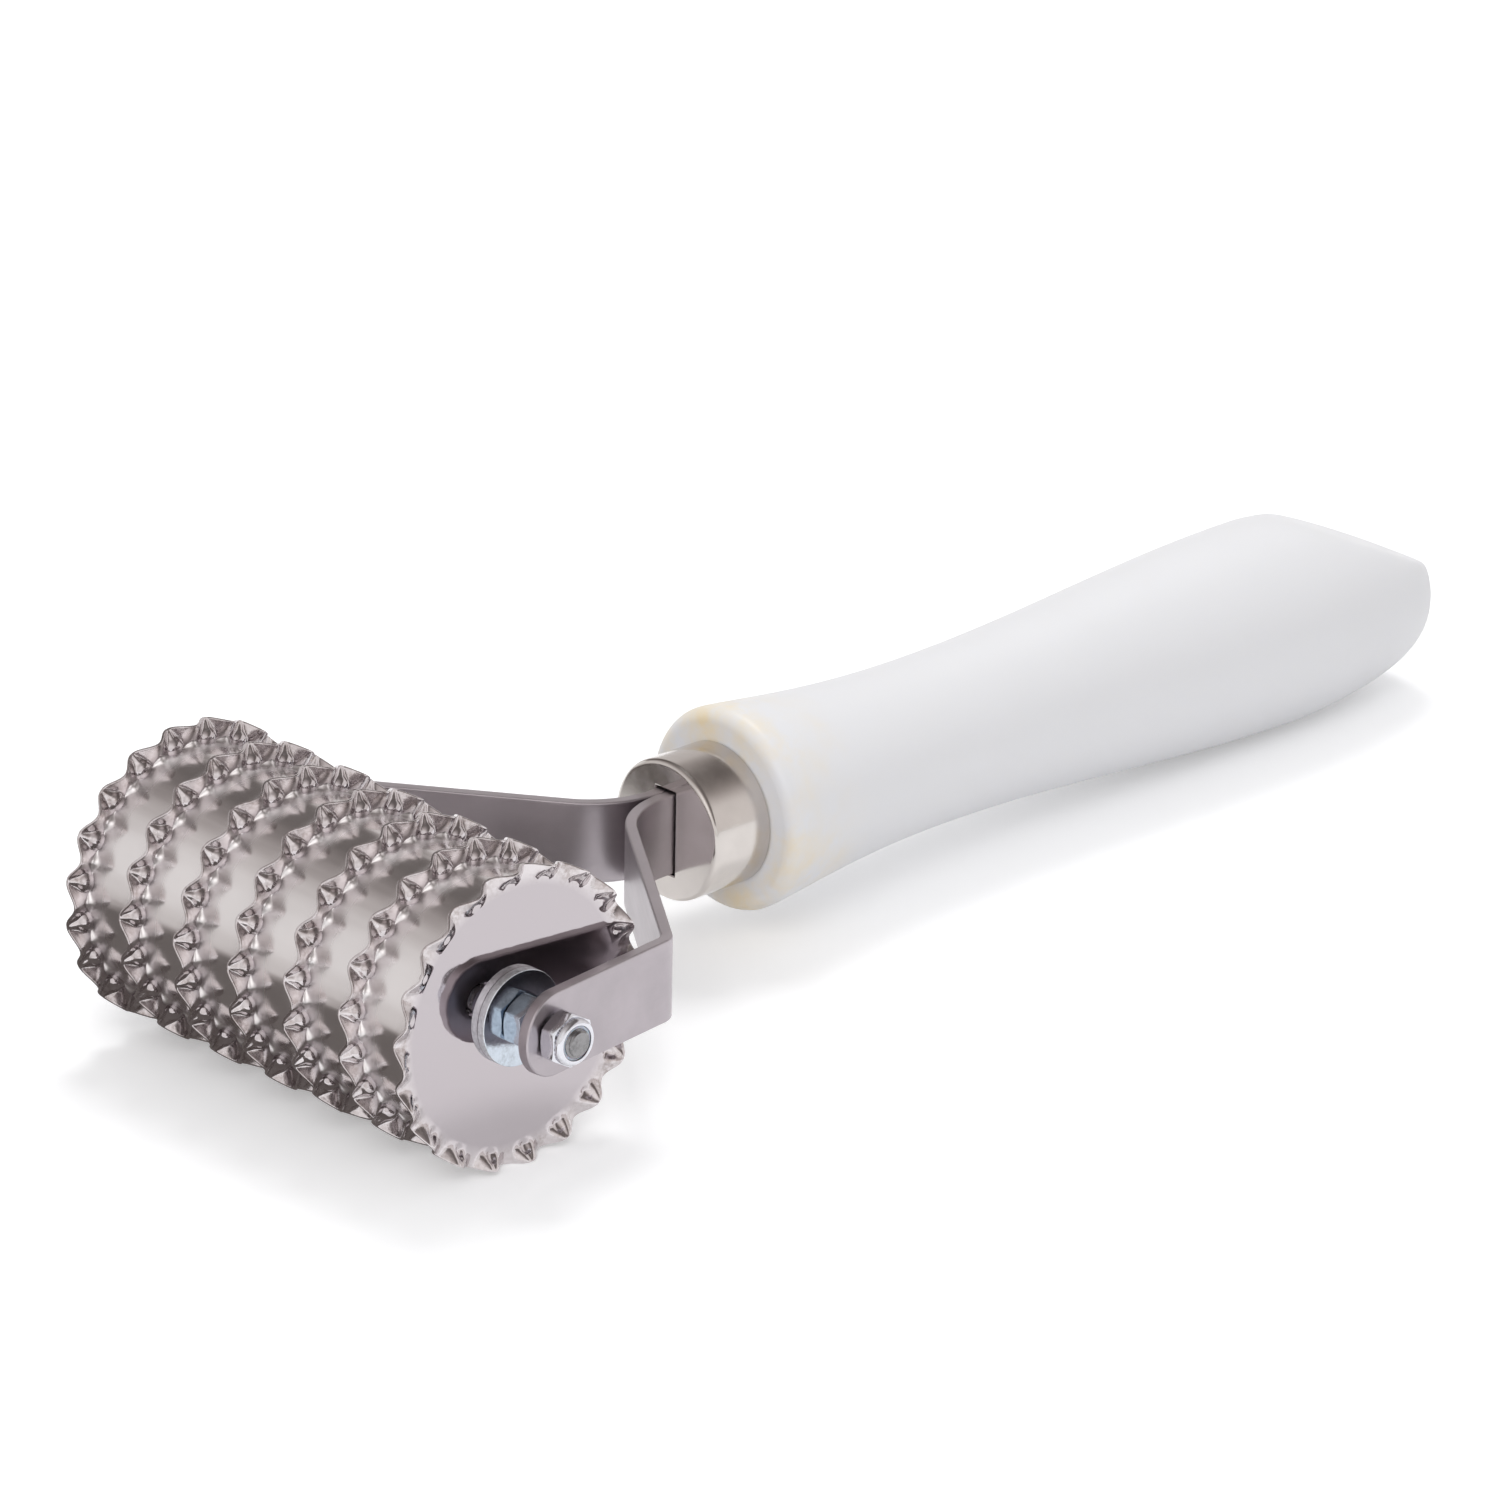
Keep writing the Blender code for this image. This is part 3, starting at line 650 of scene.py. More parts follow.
def round_corners(points, radius, steps=3):
    """Each corner of a closed outline becomes an arc between points set back along its sides:
    start * (1 - s)^2 + corner * 2 s (1 - s) + end * s^2, with s from 0 to 1."""
    spots = [np.array(p) for p in points]
    rounded = []
    for before, corner, after in zip(spots[-1:] + spots[:-1], spots, spots[1:] + spots[:1]):
        start = corner + unit(before - corner) * radius
        end = corner + unit(after - corner) * radius
        for share in np.arange(steps + 1) / steps:
            rounded.append(
                start * (1 - share) ** 2 + corner * 2 * share * (1 - share) + end * share ** 2)
    return rounded


cut_zinc = zinc_plate("cut_zinc", CUT_ZINC, CUT_ROUGHNESS, CUT_MOTTLE, CUT_MARK_DEPTH)
for side in ("left", "right"):
    low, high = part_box(f"washer_{side}")
    ends = (low.x - WASHER_SEAT, high.x) if side == "right" else (low.x, high.x + WASHER_SEAT)
    outline = round_corners([
        (ends[0], WASHER_BORE), (ends[0], WASHER_RADIUS),
        (ends[1], WASHER_RADIUS), (ends[1], WASHER_BORE)], WASHER_CORNER)
    washer = lay_grid(f"flat_washer_{side}", turn_about_axle(outline, WASHER_STEPS), zinc)
    washer.data.materials.append(cut_zinc)
    corner = WASHER_RADIUS - WASHER_CORNER / 2
    for face in washer.data.polygons:
        away = (face.center - Vector(AXLE)) * Vector((0.0, 1.0, 1.0))
        face.material_index = int(away.length > corner)
    stand_for(washer, "handle_and_yoke", "zinc", f"washer_{side}")


# Inner nuts: one plain M5 hexagon nut inside each arm, zinc-plated.
# Both ends of the hexagon are chamfered on a lathe, which leaves a curved line on each flat.
NUT_HALF_FLATS = 4.0 * MM
NUT_BORE = 2.25 * MM
NUT_BORE_MOUTH = 2.75 * MM
NUT_CHAMFER_START = 3.85 * MM
NUT_CHAMFER_SLOPE = 0.55
NUT_MOUTH_RIM = 0.15 * MM
NUT_EDGE = 0.03 * MM
MOUTH_ROWS = 3
END_FACE_SHARES = np.array([0.0, 0.5, 0.85, 0.97])
HEX_SHARPNESS = 70.0
NUT_STEPS = 144


def hexagon_radius(turns):
    """Flats joined by small roundings: half width over the norm of the six flats' cosines."""
    flats = np.arange(6) * np.pi / 3
    cosines = np.clip(np.cos(turns[:, None] - flats), 0.0, None)
    return NUT_HALF_FLATS / np.sum(cosines ** HEX_SHARPNESS, axis=1) ** (1 / HEX_SHARPNESS)


def nut_grid(low, high):
    """Grid round the axle: bore, chamfered end, flats, chamfered end, and back to the bore. An
    end falls away from its plane by slope * (radius - the chamfer's start)."""
    turns = full_circle(NUT_STEPS)
    hexagon = hexagon_radius(turns)[:, None]
    face = NUT_CHAMFER_START + (hexagon - NUT_CHAMFER_START) * END_FACE_SHARES
    face_fall = (face - NUT_CHAMFER_START) * NUT_CHAMFER_SLOPE
    side_fall = (hexagon - NUT_CHAMFER_START) * NUT_CHAMFER_SLOPE + NUT_EDGE
    mouth = np.array([NUT_BORE, NUT_BORE_MOUTH, NUT_BORE_MOUTH + NUT_MOUTH_RIM])
    mouth_fall = np.array([NUT_BORE_MOUTH - NUT_BORE, NUT_EDGE, 0.0])
    all_round = np.ones((NUT_STEPS, 1))
    radius = np.hstack([mouth * all_round, face, hexagon])
    fall = np.hstack([mouth_fall * all_round, face_fall, side_fall])
    across = np.hstack([low + fall, (high - fall)[:, ::-1]])
    return about_axle(turns, across, np.hstack([radius, radius[:, ::-1]]))


for side in ("left", "right"):
    low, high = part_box(f"inner_nut_{side}")
    nut = lay_grid(f"plain_nut_{side}", nut_grid(low.x, high.x), zinc)
    stand_for(nut, "handle_and_yoke", "zinc", f"inner_nut_{side}")


# Yoke arms: two lengths of nickel-plated steel strip, bent cold, with one round end each.
# Their tails lie back to back through the ferrule into the handle. The satin plate has fine
# lines along the strip.
STRIP_WIDTH = 14.0 * MM
STRIP_THICKNESS = 2.0 * MM
STRIP_HOLE = 3.05 * MM
STRIP_EDGE = 0.34 * MM
ARM_MIDDLE = 46.66 * MM
SHOULDER = np.array([43.26, 27.5]) * MM
ROOT = np.array([1.06, 57.8]) * MM
TANG_END = np.array([1.06, 112.0]) * MM
SHOULDER_BEND = 3.0 * MM
SHOULDER_STEPS = 24
ROOT_BEND = 15.8 * MM
ROOT_STEPS = 48
FAN_STEPS = 96
FAN_SHARES = np.array([0.0, 0.08, 0.3, 0.6, 0.92, 1.0])
ARM_FLAT_END = 24.0 * MM
SHOULDER_FROM = 25.0 * MM
SHOULDER_TO = 30.0 * MM
ROOT_FROM = 66.0 * MM
ROOT_TO = 88.0 * MM
ARM_ROWS = (8, 26, 14, 40, 8)
STRIP_MERGE_DISTANCE = 0.01 * MM
STRIP_EDGE_SEGMENTS = 4
STRIP_EDGE_ANGLE = math.radians(60)
TURN_TOLERANCE = 1e-6
YOKE_COLOUR = (0.46, 0.42, 0.445)
YOKE_SHADE_SHARE = 0.9
YOKE_PATCH_SCALE = 110.0
YOKE_ROUGHNESS = 0.34
YOKE_GLOSS = (0.24, 0.42)
BRUSH_LINES = (60.0, 60.0, 5200.0)
BRUSH_LINE_DEPTH = 0.008 * MM


def bend_arc(before, corner, after, radius, steps):
    """Points of the arc that rounds a corner of the strip's middle line. It starts
    radius * tan(turn / 2) before the corner, at start + side * radius * (1 - cos(sweep))
    + into * radius * sin(sweep)."""
    into, away = unit(corner - before), unit(after - corner)
    turn = math.acos(float(np.dot(into, away)))
    start = corner - into * radius * math.tan(turn / 2)
    side = np.array([-into[1], into[0]])
    side = side if np.dot(side, away) > 0 else -side
    sweep = np.linspace(0.0, turn, steps)[:, None]
    return start + side * radius * (1 - np.cos(sweep)) + into * radius * np.sin(sweep)


def strip_points(distance, height):
    """Middle surface of the right arm at a distance along the bent strip from the axle and a
    height over its middle, and the strip's length."""
    slope = (SHOULDER[0] - ARM_MIDDLE) / SHOULDER[1]
    tip = np.array([ARM_MIDDLE - slope * STRIP_WIDTH, -STRIP_WIDTH])
    line = np.vstack([
        tip,
        bend_arc(tip, SHOULDER, ROOT, SHOULDER_BEND, SHOULDER_STEPS),
        bend_arc(SHOULDER, ROOT, TANG_END, ROOT_BEND, ROOT_STEPS),
        TANG_END])
    lengths = np.concatenate([[0.0], np.cumsum(np.linalg.norm(np.diff(line, axis=0), axis=1))])
    axle_length = STRIP_WIDTH * math.sqrt(1 + slope ** 2)
    spot = distance + axle_length
    across = np.interp(spot, lengths, line[:, 0])
    along = np.interp(spot, lengths, line[:, 1])
    return np.stack([across, along, height], axis=-1), lengths[-1] - axle_length


def arm_mesh(name, mirror):
    """A fan of points round the rod's hole, out to the round end and to a square front, then
    rows along the strip at the same heights, closer over its two bends."""
    half = STRIP_WIDTH / 2
    turns = np.linspace(-np.pi, np.pi, FAN_STEPS, endpoint=False)
    cosine, sine = np.cos(turns), np.sin(turns)
    square = half / np.maximum(np.abs(cosine), np.abs(sine))
    reach = np.where(cosine > 0, square, half)
    ring = STRIP_HOLE + (reach[:, None] - STRIP_HOLE) * FAN_SHARES
    fan, length = strip_points(ring * cosine[:, None], ring * sine[:, None])
    front = np.abs(turns) <= np.pi / 4 + TURN_TOLERANCE
    heights = half * np.tan(turns[front])
    starts = (half, SHOULDER_FROM, SHOULDER_TO, ROOT_FROM, ROOT_TO)
    ends = (ARM_FLAT_END, SHOULDER_TO, ROOT_FROM, ROOT_TO, length)
    spans = [np.linspace(*span)[1:] for span in zip(starts, ends, ARM_ROWS)]
    rows = np.concatenate([[half], *spans])
    distance, height = np.meshgrid(rows, heights, indexing="ij")
    straight, _ = strip_points(distance, height)
    fan_index = number_points(fan)
    faces = np.vstack([
        grid_faces(np.vstack([fan_index, fan_index[:1]])),
        grid_faces(number_points(straight) + fan_index.size)])
    points = np.vstack([fan.reshape(-1, 3), straight.reshape(-1, 3)])
    return joined_mesh(name, points * (mirror, 1.0, 1.0), faces, STRIP_MERGE_DISTANCE)


yoke_nickel = lined_metal(
    "yoke_nickel", YOKE_COLOUR, BRUSH_LINES, YOKE_ROUGHNESS, YOKE_GLOSS, BRUSH_LINE_DEPTH,
    YOKE_PATCH_SCALE, FINE_DETAIL, YOKE_SHADE_SHARE)
for side, mirror in (("left", -1.0), ("right", 1.0)):
    name = f"bent_arm_{side}"
    arm = new_piece(name, arm_mesh(name, mirror), yoke_nickel)
    wall = arm.modifiers.new("wall", "SOLIDIFY")
    wall.thickness = STRIP_THICKNESS
    wall.offset = 0.0
    wall.use_even_offset = True
    edges = arm.modifiers.new("edges", "BEVEL")
    edges.width = STRIP_EDGE
    edges.segments = STRIP_EDGE_SEGMENTS
    edges.limit_method = "ANGLE"
    edges.angle_limit = STRIP_EDGE_ANGLE
    flats = arm.modifiers.new("flats", "WEIGHTED_NORMAL")
    flats.keep_sharp = True
    stand_for(arm, "handle_and_yoke", "yoke_nickel", f"yoke_arm_{side}")


# Lock nuts: an M5 hexagon with a round collar, outside each arm.
# The collar is rolled over a ring of pale blue nylon, which grips the rod's end.
COLLAR_RADIUS = 3.85 * MM
COLLAR_ROUNDING = 0.8 * MM
COLLAR_LIP = 2.85 * MM
COLLAR_LIP_EDGE = 0.1 * MM
COLLAR_LIP_DROP = 0.06 * MM
COLLAR_HEIGHT = 1.1 * MM
COLLAR_SINK = 0.02 * MM
COLLAR_STEPS = 7
RING_BORE = 2.35 * MM
RING_GAP = 0.03 * MM
RING_SINK = 0.22 * MM
RING_CORNER = 0.12 * MM
LOCK_ZINC = (0.74, 0.745, 0.79)
LOCK_ROUGHNESS = 0.08
LOCK_MOTTLE = 0.3
NYLON = (0.62, 0.66, 0.76)
NYLON_ROUGHNESS = 0.38
NYLON_SHADE_SHARE = 0.85
NYLON_PATCH_SCALE = 700.0
NYLON_GLOW = 0.2
NYLON_GLOW_DEPTH = 0.5 * MM


def collar_outline(foot, top, outward):
    """Side of the collar, its rolled-over edge as a quarter circle, and its lip, as
    (across, radius) points."""
    turns = np.linspace(0.0, np.pi / 2, COLLAR_STEPS)
    middle = COLLAR_RADIUS - COLLAR_ROUNDING
    shoulder = top - outward * COLLAR_ROUNDING
    arc = [
        (shoulder + outward * COLLAR_ROUNDING * math.sin(t), middle + COLLAR_ROUNDING * math.cos(t))
        for t in turns]
    return [(foot, COLLAR_RADIUS)] + arc + [
        (top, COLLAR_LIP + COLLAR_LIP_EDGE), (top - outward * COLLAR_LIP_DROP, COLLAR_LIP),
        (top - outward * COLLAR_HEIGHT, COLLAR_LIP)]


def locknut_grid(back, front, outward):
    """Bore, hexagon chamfered at its back and at its shoulder, then the collar."""
    turns = full_circle(NUT_STEPS)
    shoulder = front - outward * COLLAR_HEIGHT
    body = nut_grid(min(back, shoulder), max(back, shoulder))
    body = (body if outward > 0 else body[:, ::-1])[:, :-MOUTH_ROWS]
    foot = shoulder - outward * COLLAR_SINK
    across, radius = np.array(collar_outline(foot, front, outward)).T
    return np.concatenate([body, about_axle(turns, across, radius)], axis=1)


def pale_nylon():
    """Moulded nylon, slightly clouded, that lets a little light in."""
    material, tree, shader = new_finish("nylon", NYLON_ROUGHNESS, 0.0, {
        "Subsurface Weight": NYLON_GLOW, "Subsurface Scale": NYLON_GLOW_DEPTH})
    patches = smudges(tree, NYLON_PATCH_SCALE)
    cloud_colour(tree, shader, patches, NYLON, NYLON_SHADE_SHARE)
    return material


nylon = pale_nylon()
lock_zinc = zinc_plate("lock_zinc", LOCK_ZINC, LOCK_ROUGHNESS, LOCK_MOTTLE)
for side, outward in (("left", -1), ("right", 1)):
    low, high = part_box(f"locknut_{side}")
    back, front = (low.x, high.x) if outward > 0 else (high.x, low.x)
    locknut = lay_grid(f"lock_nut_{side}", locknut_grid(back, front, outward), lock_zinc)
    stand_for(locknut, "handle_and_yoke", "zinc", f"locknut_{side}")
    face = front - outward * RING_SINK
    deep = front - outward * COLLAR_HEIGHT
    outline = round_corners([
        (deep, RING_BORE), (deep, COLLAR_LIP - RING_GAP),
        (face, COLLAR_LIP - RING_GAP), (face, RING_BORE)], RING_CORNER)
    ring = lay_grid(f"nylon_ring_{side}", turn_about_axle(outline, NUT_STEPS), nylon)
    stand_for(ring, "handle_and_yoke", "nylon", f"locknut_insert_{side}")


# Ferrule: a turned cap of nickel-plated steel over the front of the handle.
# Its edge is rounded, and a slot milled through its face takes the two strips. The polished
# plate has a warm cast and very fine turning lines.
FERRULE_RADIUS = 12.0 * MM
FERRULE_BORE = 11.0 * MM
FERRULE_FRONT = 67.6 * MM
FERRULE_FACE_BACK = 69.6 * MM
FERRULE_BACK = 79.78 * MM
FERRULE_EDGE = 0.9 * MM
SLOT_HALF_THICKNESS = 2.36 * MM
SLOT_HALF_WIDTH = 7.3 * MM
SLOT_EDGE = 0.15 * MM
FACE_SHARES = (0.04, 0.3, 0.6, 0.9, 0.99, 1.0)
FERRULE_EDGE_STEPS = 9
EDGE_GUARD_SHARE = 1.3
GRIP_STEPS = 192
CORNER_CLEARANCE = 0.01
LEAST_COSINE = 1e-9
FERRULE_COLOUR = (0.66, 0.62, 0.59)
FERRULE_SHADE_SHARE = 0.9
FERRULE_PATCH_SCALE = 120.0
FERRULE_ROUGHNESS = 0.14
FERRULE_GLOSS = (0.1, 0.2)
FACING_LINES = (30.0, 5000.0, 30.0)
FACING_LINE_DEPTH = 0.002 * MM


def grip_turns():
    """Even turns round the handle's axis, with the slot's four corners in place of those that
    lie within a small clearance of them."""
    corner = math.atan2(SLOT_HALF_WIDTH, SLOT_HALF_THICKNESS)
    corners = [corner, np.pi - corner, np.pi + corner, 2 * np.pi - corner]
    even = full_circle(GRIP_STEPS)
    even = even[np.min(np.abs(even[:, None] - corners), axis=1) > CORNER_CLEARANCE]
    return np.sort(np.concatenate([even, corners]))


def slot_radius(turns, margin):
    """Distance from the axis to the slot's rectangle, widened by a margin: the lesser of
    half thickness / |cos(turn)| and half width / |sin(turn)|."""
    cosine, sine = np.abs(np.cos(turns)), np.abs(np.sin(turns))
    thin = (SLOT_HALF_THICKNESS + margin) / np.maximum(cosine, LEAST_COSINE)
    wide = (SLOT_HALF_WIDTH + margin) / np.maximum(sine, LEAST_COSINE)
    return np.minimum(thin, wide)


def about_grip(turns, along, radius):
    """The same kind of grid round the handle's axis."""
    return about_axle(turns, along, radius)[..., [1, 0, 2]]


def ferrule_grid():
    """The slot's wall, the flat face out from the slot, the edge as a quarter circle, the side,
    the back rim, the bore, and the back of the face."""
    turns = grip_turns()
    ones = np.ones((len(turns), 1))
    wall, start = slot_radius(turns, 0.0), slot_radius(turns, SLOT_EDGE)
    flat_radius = FERRULE_RADIUS - FERRULE_EDGE
    rows = [
        (FERRULE_FACE_BACK, wall), (FERRULE_FRONT + SLOT_EDGE, wall), (FERRULE_FRONT, start)]
    rows += [(FERRULE_FRONT, start + (flat_radius - start) * share) for share in FACE_SHARES]
    for turn in np.linspace(0.0, np.pi / 2, FERRULE_EDGE_STEPS)[1:]:
        rows.append((
            FERRULE_FRONT + FERRULE_EDGE * (1 - math.cos(turn)),
            flat_radius + FERRULE_EDGE * math.sin(turn)))
    rows += [
        (FERRULE_FRONT + EDGE_GUARD_SHARE * FERRULE_EDGE, FERRULE_RADIUS),
        (FERRULE_BACK - 2 * SLOT_EDGE, FERRULE_RADIUS),
        (FERRULE_BACK - SLOT_EDGE, FERRULE_RADIUS),
        (FERRULE_BACK, FERRULE_RADIUS - SLOT_EDGE),
        (FERRULE_BACK, FERRULE_BORE + SLOT_EDGE),
        (FERRULE_BACK - SLOT_EDGE, FERRULE_BORE),
        (FERRULE_FACE_BACK + SLOT_EDGE, FERRULE_BORE),
        (FERRULE_FACE_BACK, FERRULE_BORE - SLOT_EDGE)]
    along = np.array([row[0] for row in rows])
    radius = np.hstack([ones * np.reshape(row[1], (-1, 1)) for row in rows])
    return about_grip(turns, along, radius)


ferrule_nickel = lined_metal(
    "ferrule_nickel", FERRULE_COLOUR, FACING_LINES, FERRULE_ROUGHNESS, FERRULE_GLOSS,
    FACING_LINE_DEPTH, FERRULE_PATCH_SCALE, FINE_DETAIL, FERRULE_SHADE_SHARE, cloudy=True)
ferrule = lay_grid("turned_ferrule", ferrule_grid(), ferrule_nickel)
stand_for(ferrule, "handle_and_yoke", "ferrule_nickel", "ferrule")


# Tang rivet: a flush steel rivet through both strips, inside the handle.
# It is hidden, and keeps its shape from the frame.
finish_node("tang_rivet", hub_steel)


# Handle: white polyethylene, moulded in one piece with a pocket for the strips.
# It has a bead at the front, a waist, a swell, and a blunt butt with a sloping flat on top.
HANDLE_FRONT = 79.9 * MM
HANDLE_END = 238.6 * MM
SPIGOT_RADIUS = 10.7 * MM
SPIGOT_FRONT = 69.72 * MM
SPIGOT_CHAMFER = 0.2 * MM
SHOULDER_EDGE = 0.01 * MM
POCKET_END = 112.3 * MM
BEAD_RADIUS = 17.25 * MM
BEAD_ROUNDING = 2.45 * MM
BEAD_EASE_SHARE = 0.62
BEAD_ROWS = 14
EASE_ROWS = 40
BUTT_ROWS = 60
WAIST_RADIUS = 14.15 * MM
WAIST_PLACE = 125.0 * MM
SWELL_RADIUS = 17.95 * MM
SWELL_PLACE = 208.0 * MM
BUTT_FLAT_RADIUS = 7.5 * MM
TAPER_POWER = 1.27
BUTT_POWER = 6.0
FLAT_PLACE = 210.0 * MM
FLAT_HEIGHT = 18.55 * MM
FLAT_SLOPE = 0.465
FLAT_ROUNDING = 1.1 * MM
PLASTIC = (0.83, 0.83, 0.85)
PLASTIC_STAIN = (0.90, 0.76, 0.52)
PLASTIC_PATCH_SCALE = 55.0
PLASTIC_SPOT_SCALE = 130.0
STAIN_REACH = 20.0 * MM
PLASTIC_ROUGHNESS = 0.42
PLASTIC_GLOSS = (0.38, 0.48)
PLASTIC_IOR = 1.5
PLASTIC_GLOW = 0.15
PLASTIC_GLOW_COLOUR = (1.0, 0.95, 0.85)
PLASTIC_GLOW_DEPTH = 3.0 * MM


def ease(low, high, share):
    """Half a cosine wave from low to high."""
    return low + (high - low) * (1 - np.cos(np.pi * share)) / 2


def handle_grid():
    """Turned outline: bead as a quarter circle, waist and swell as cosine waves, and the butt as
    radius = swell * (1 - share^taper)^(1 / power). Then height = soft minimum of the round height
    and the sloping flat: (a + b - sqrt((a - b)^2 + rounding^2)) / 2."""
    turns = grip_turns()
    bead = np.linspace(0.0, np.pi / 2, BEAD_ROWS)
    crest = HANDLE_FRONT + BEAD_ROUNDING
    eased = np.linspace(0.0, 1.0, EASE_ROWS)[1:]
    flat_share = (1 - (BUTT_FLAT_RADIUS / SWELL_RADIUS) ** BUTT_POWER) ** (1 / TAPER_POWER)
    to_butt = flat_share * np.sin(np.linspace(0.0, np.pi / 2, BUTT_ROWS)[1:])
    along = np.concatenate([
        [SPIGOT_FRONT, SPIGOT_FRONT + SPIGOT_CHAMFER, HANDLE_FRONT - SHOULDER_EDGE, HANDLE_FRONT],
        HANDLE_FRONT + BEAD_ROUNDING * (1 - np.cos(bead)),
        crest + (WAIST_PLACE - crest) * eased,
        WAIST_PLACE + (SWELL_PLACE - WAIST_PLACE) * eased,
        SWELL_PLACE + (HANDLE_END - SWELL_PLACE) * to_butt / flat_share,
        [HANDLE_END, HANDLE_END]])
    radius = np.concatenate([
        [SPIGOT_RADIUS - SPIGOT_CHAMFER, SPIGOT_RADIUS, SPIGOT_RADIUS,
         SPIGOT_RADIUS + 2 * SHOULDER_EDGE],
        BEAD_RADIUS - BEAD_ROUNDING * (1 - np.sin(bead)),
        ease(BEAD_RADIUS, WAIST_RADIUS, eased ** BEAD_EASE_SHARE),
        ease(WAIST_RADIUS, SWELL_RADIUS, eased),
        SWELL_RADIUS * (1 - to_butt ** TAPER_POWER) ** (1 / BUTT_POWER),
        [BUTT_FLAT_RADIUS / 2, 0.0]])
    slot = slot_radius(turns, 0.0)[:, None]
    along = np.concatenate([[POCKET_END, POCKET_END, SPIGOT_FRONT], along])
    radius = np.hstack([0 * slot, slot, slot, np.ones_like(slot) * radius])
    grid = about_grip(turns, along, radius)
    plane = FLAT_HEIGHT - FLAT_SLOPE * (grid[..., 1] - FLAT_PLACE)
    over = np.sqrt((grid[..., 2] - plane) ** 2 + FLAT_ROUNDING ** 2)
    cut_height = (grid[..., 2] + plane - over) / 2
    grid[..., 2] = np.where(grid[..., 1] > WAIST_PLACE, cut_height, grid[..., 2])
    return grid


def white_plastic():
    """Polyethylene: faintly waxy, with yellowish stains in spots at the bead."""
    material, tree, shader = new_finish("handle_plastic", PLASTIC_ROUGHNESS, 0.0, {
        "IOR": PLASTIC_IOR, "Subsurface Weight": PLASTIC_GLOW,
        "Subsurface Radius": PLASTIC_GLOW_COLOUR, "Subsurface Scale": PLASTIC_GLOW_DEPTH})
    place = add_node(tree, "ShaderNodeTexCoord").outputs["Object"]
    back = add_node(tree, "ShaderNodeSeparateXYZ", {"Vector": place}).outputs["Y"]
    bead_from = in_place(np.array([0.0, HANDLE_FRONT, 0.0]))[1]
    near_bead = share_between(tree, back, bead_from + STAIN_REACH, bead_from)
    patches = smudges(tree, PLASTIC_PATCH_SCALE)
    spots = smudges(tree, PLASTIC_SPOT_SCALE, FINE_DETAIL)
    stained = multiply(tree, near_bead, multiply(tree, patches, spots))
    tree.links.new(
        blend_colours(tree, stained, PLASTIC, PLASTIC_STAIN), shader.inputs["Base Color"])
    gloss_between(tree, shader, patches, *PLASTIC_GLOSS)
    return material


handle = lay_grid("white_handle", handle_grid(), white_plastic(), ring=False)
stand_for(handle, "handle_and_yoke", "handle_plastic", "handle")


# Table: a plain white sheet under the tool, which keeps the tool's soft shadow.
# A little light of its own makes it white to the camera and in the metal.
WHITE = (1.0, 1.0, 1.0, 1.0)
TABLE_REACH = 3.0
TABLE_COLOUR = (0.86, 0.86, 0.87)
TABLE_LIFT = 0.3


def seen_directly(tree):
    """1 for rays from the camera and for those that metal or glass sends on, otherwise 0: the
    largest of the three marks of a ray."""
    ray = add_node(tree, "ShaderNodeLightPath").outputs
    first = calculate(tree, "MAXIMUM", ray["Is Camera Ray"], ray["Is Glossy Ray"])
    return calculate(tree, "MAXIMUM", first, ray["Is Transmission Ray"])


table_material, table_tree, table_shader = new_finish("white_table", 1.0, 0.0, {
    "Base Color": (*TABLE_COLOUR, 1.0), "Specular IOR Level": 0.0, "Emission Color": WHITE})
table_tree.links.new(
    spread_between(table_tree, seen_directly(table_tree), 0.0, TABLE_LIFT),
    table_shader.inputs["Emission Strength"])
table_mesh = bpy.data.meshes.new("table")
table_mesh.from_pydata(
    [(-TABLE_REACH, -TABLE_REACH, 0.0), (TABLE_REACH, -TABLE_REACH, 0.0),
     (TABLE_REACH, TABLE_REACH, 0.0), (-TABLE_REACH, TABLE_REACH, 0.0)], [], [(0, 1, 2, 3)])
new_piece("table", table_mesh, table_material)


# Cards: brown-grey sheets round the tool that only its metal sees, in place of a dim room.
# One is a curved roof, dark behind and pale in front, and one lies on the table in front of
# the wheels and grows dark towards them, painted shade for the tool's shadow on the table.
ROOF_RADIUS = 0.7
ROOF_REACH = 2.5
ROOF_RIGHT_FROM = 0.3
ROOF_STEPS = 121
CARD_LIFT = 0.1 * MM
CARD_DARK = 0.15
CARD_PALE = 0.80
CARD_WARMTH = (0.0, 0.13, 0.17)
ROOF_PALE_RIGHT = 1.25
RISE_FROM = math.radians(-114)
RISE_TO = math.radians(-30)
UNDER_WHEEL_SHADE_FROM = math.radians(15)
UNDER_WHEEL_SHADE_TO = math.radians(28)
BACK_DARK = math.radians(-132)
BACK_PALE = math.radians(-147)
BACK_SHARE = 0.85
FADE_FROM = math.radians(-12)
FADE_SHARE = 0.2
MAT_REACH = 0.7
MAT_LEFT = -1.6
MAT_RIGHT = 0.036
MAT_BACK = 28.0 * MM
MAT_STEPS = 80


def card_sheet(name, grid, tone):
    """A sheet that glows by a colour at each of its points. It shows only in metal: no camera,
    soft light or shadow meets it."""
    mesh = bpy.data.meshes.new(name)
    mesh.from_pydata(grid.reshape(-1, 3), [], grid_faces(number_points(grid)).tolist())
    colour = mesh.attributes.new("tone", "FLOAT_VECTOR", "POINT")
    colour.data.foreach_set("vector", np.broadcast_to(tone, grid.shape).reshape(-1))
    material = bpy.data.materials.new(name)
    material.use_nodes = True
    tree = material.node_tree
    tree.nodes.clear()
    seen = add_node(tree, "ShaderNodeAttribute", attribute_name="tone")
    glow = add_node(tree, "ShaderNodeEmission", {"Color": seen.outputs["Color"], "Strength": 1.0})
    add_node(tree, "ShaderNodeOutputMaterial", {"Surface": glow.outputs["Emission"]})
    card = new_piece(name, mesh, material)
    card.visible_camera = False
    card.visible_diffuse = False
    card.visible_shadow = False
    card.visible_transmission = False


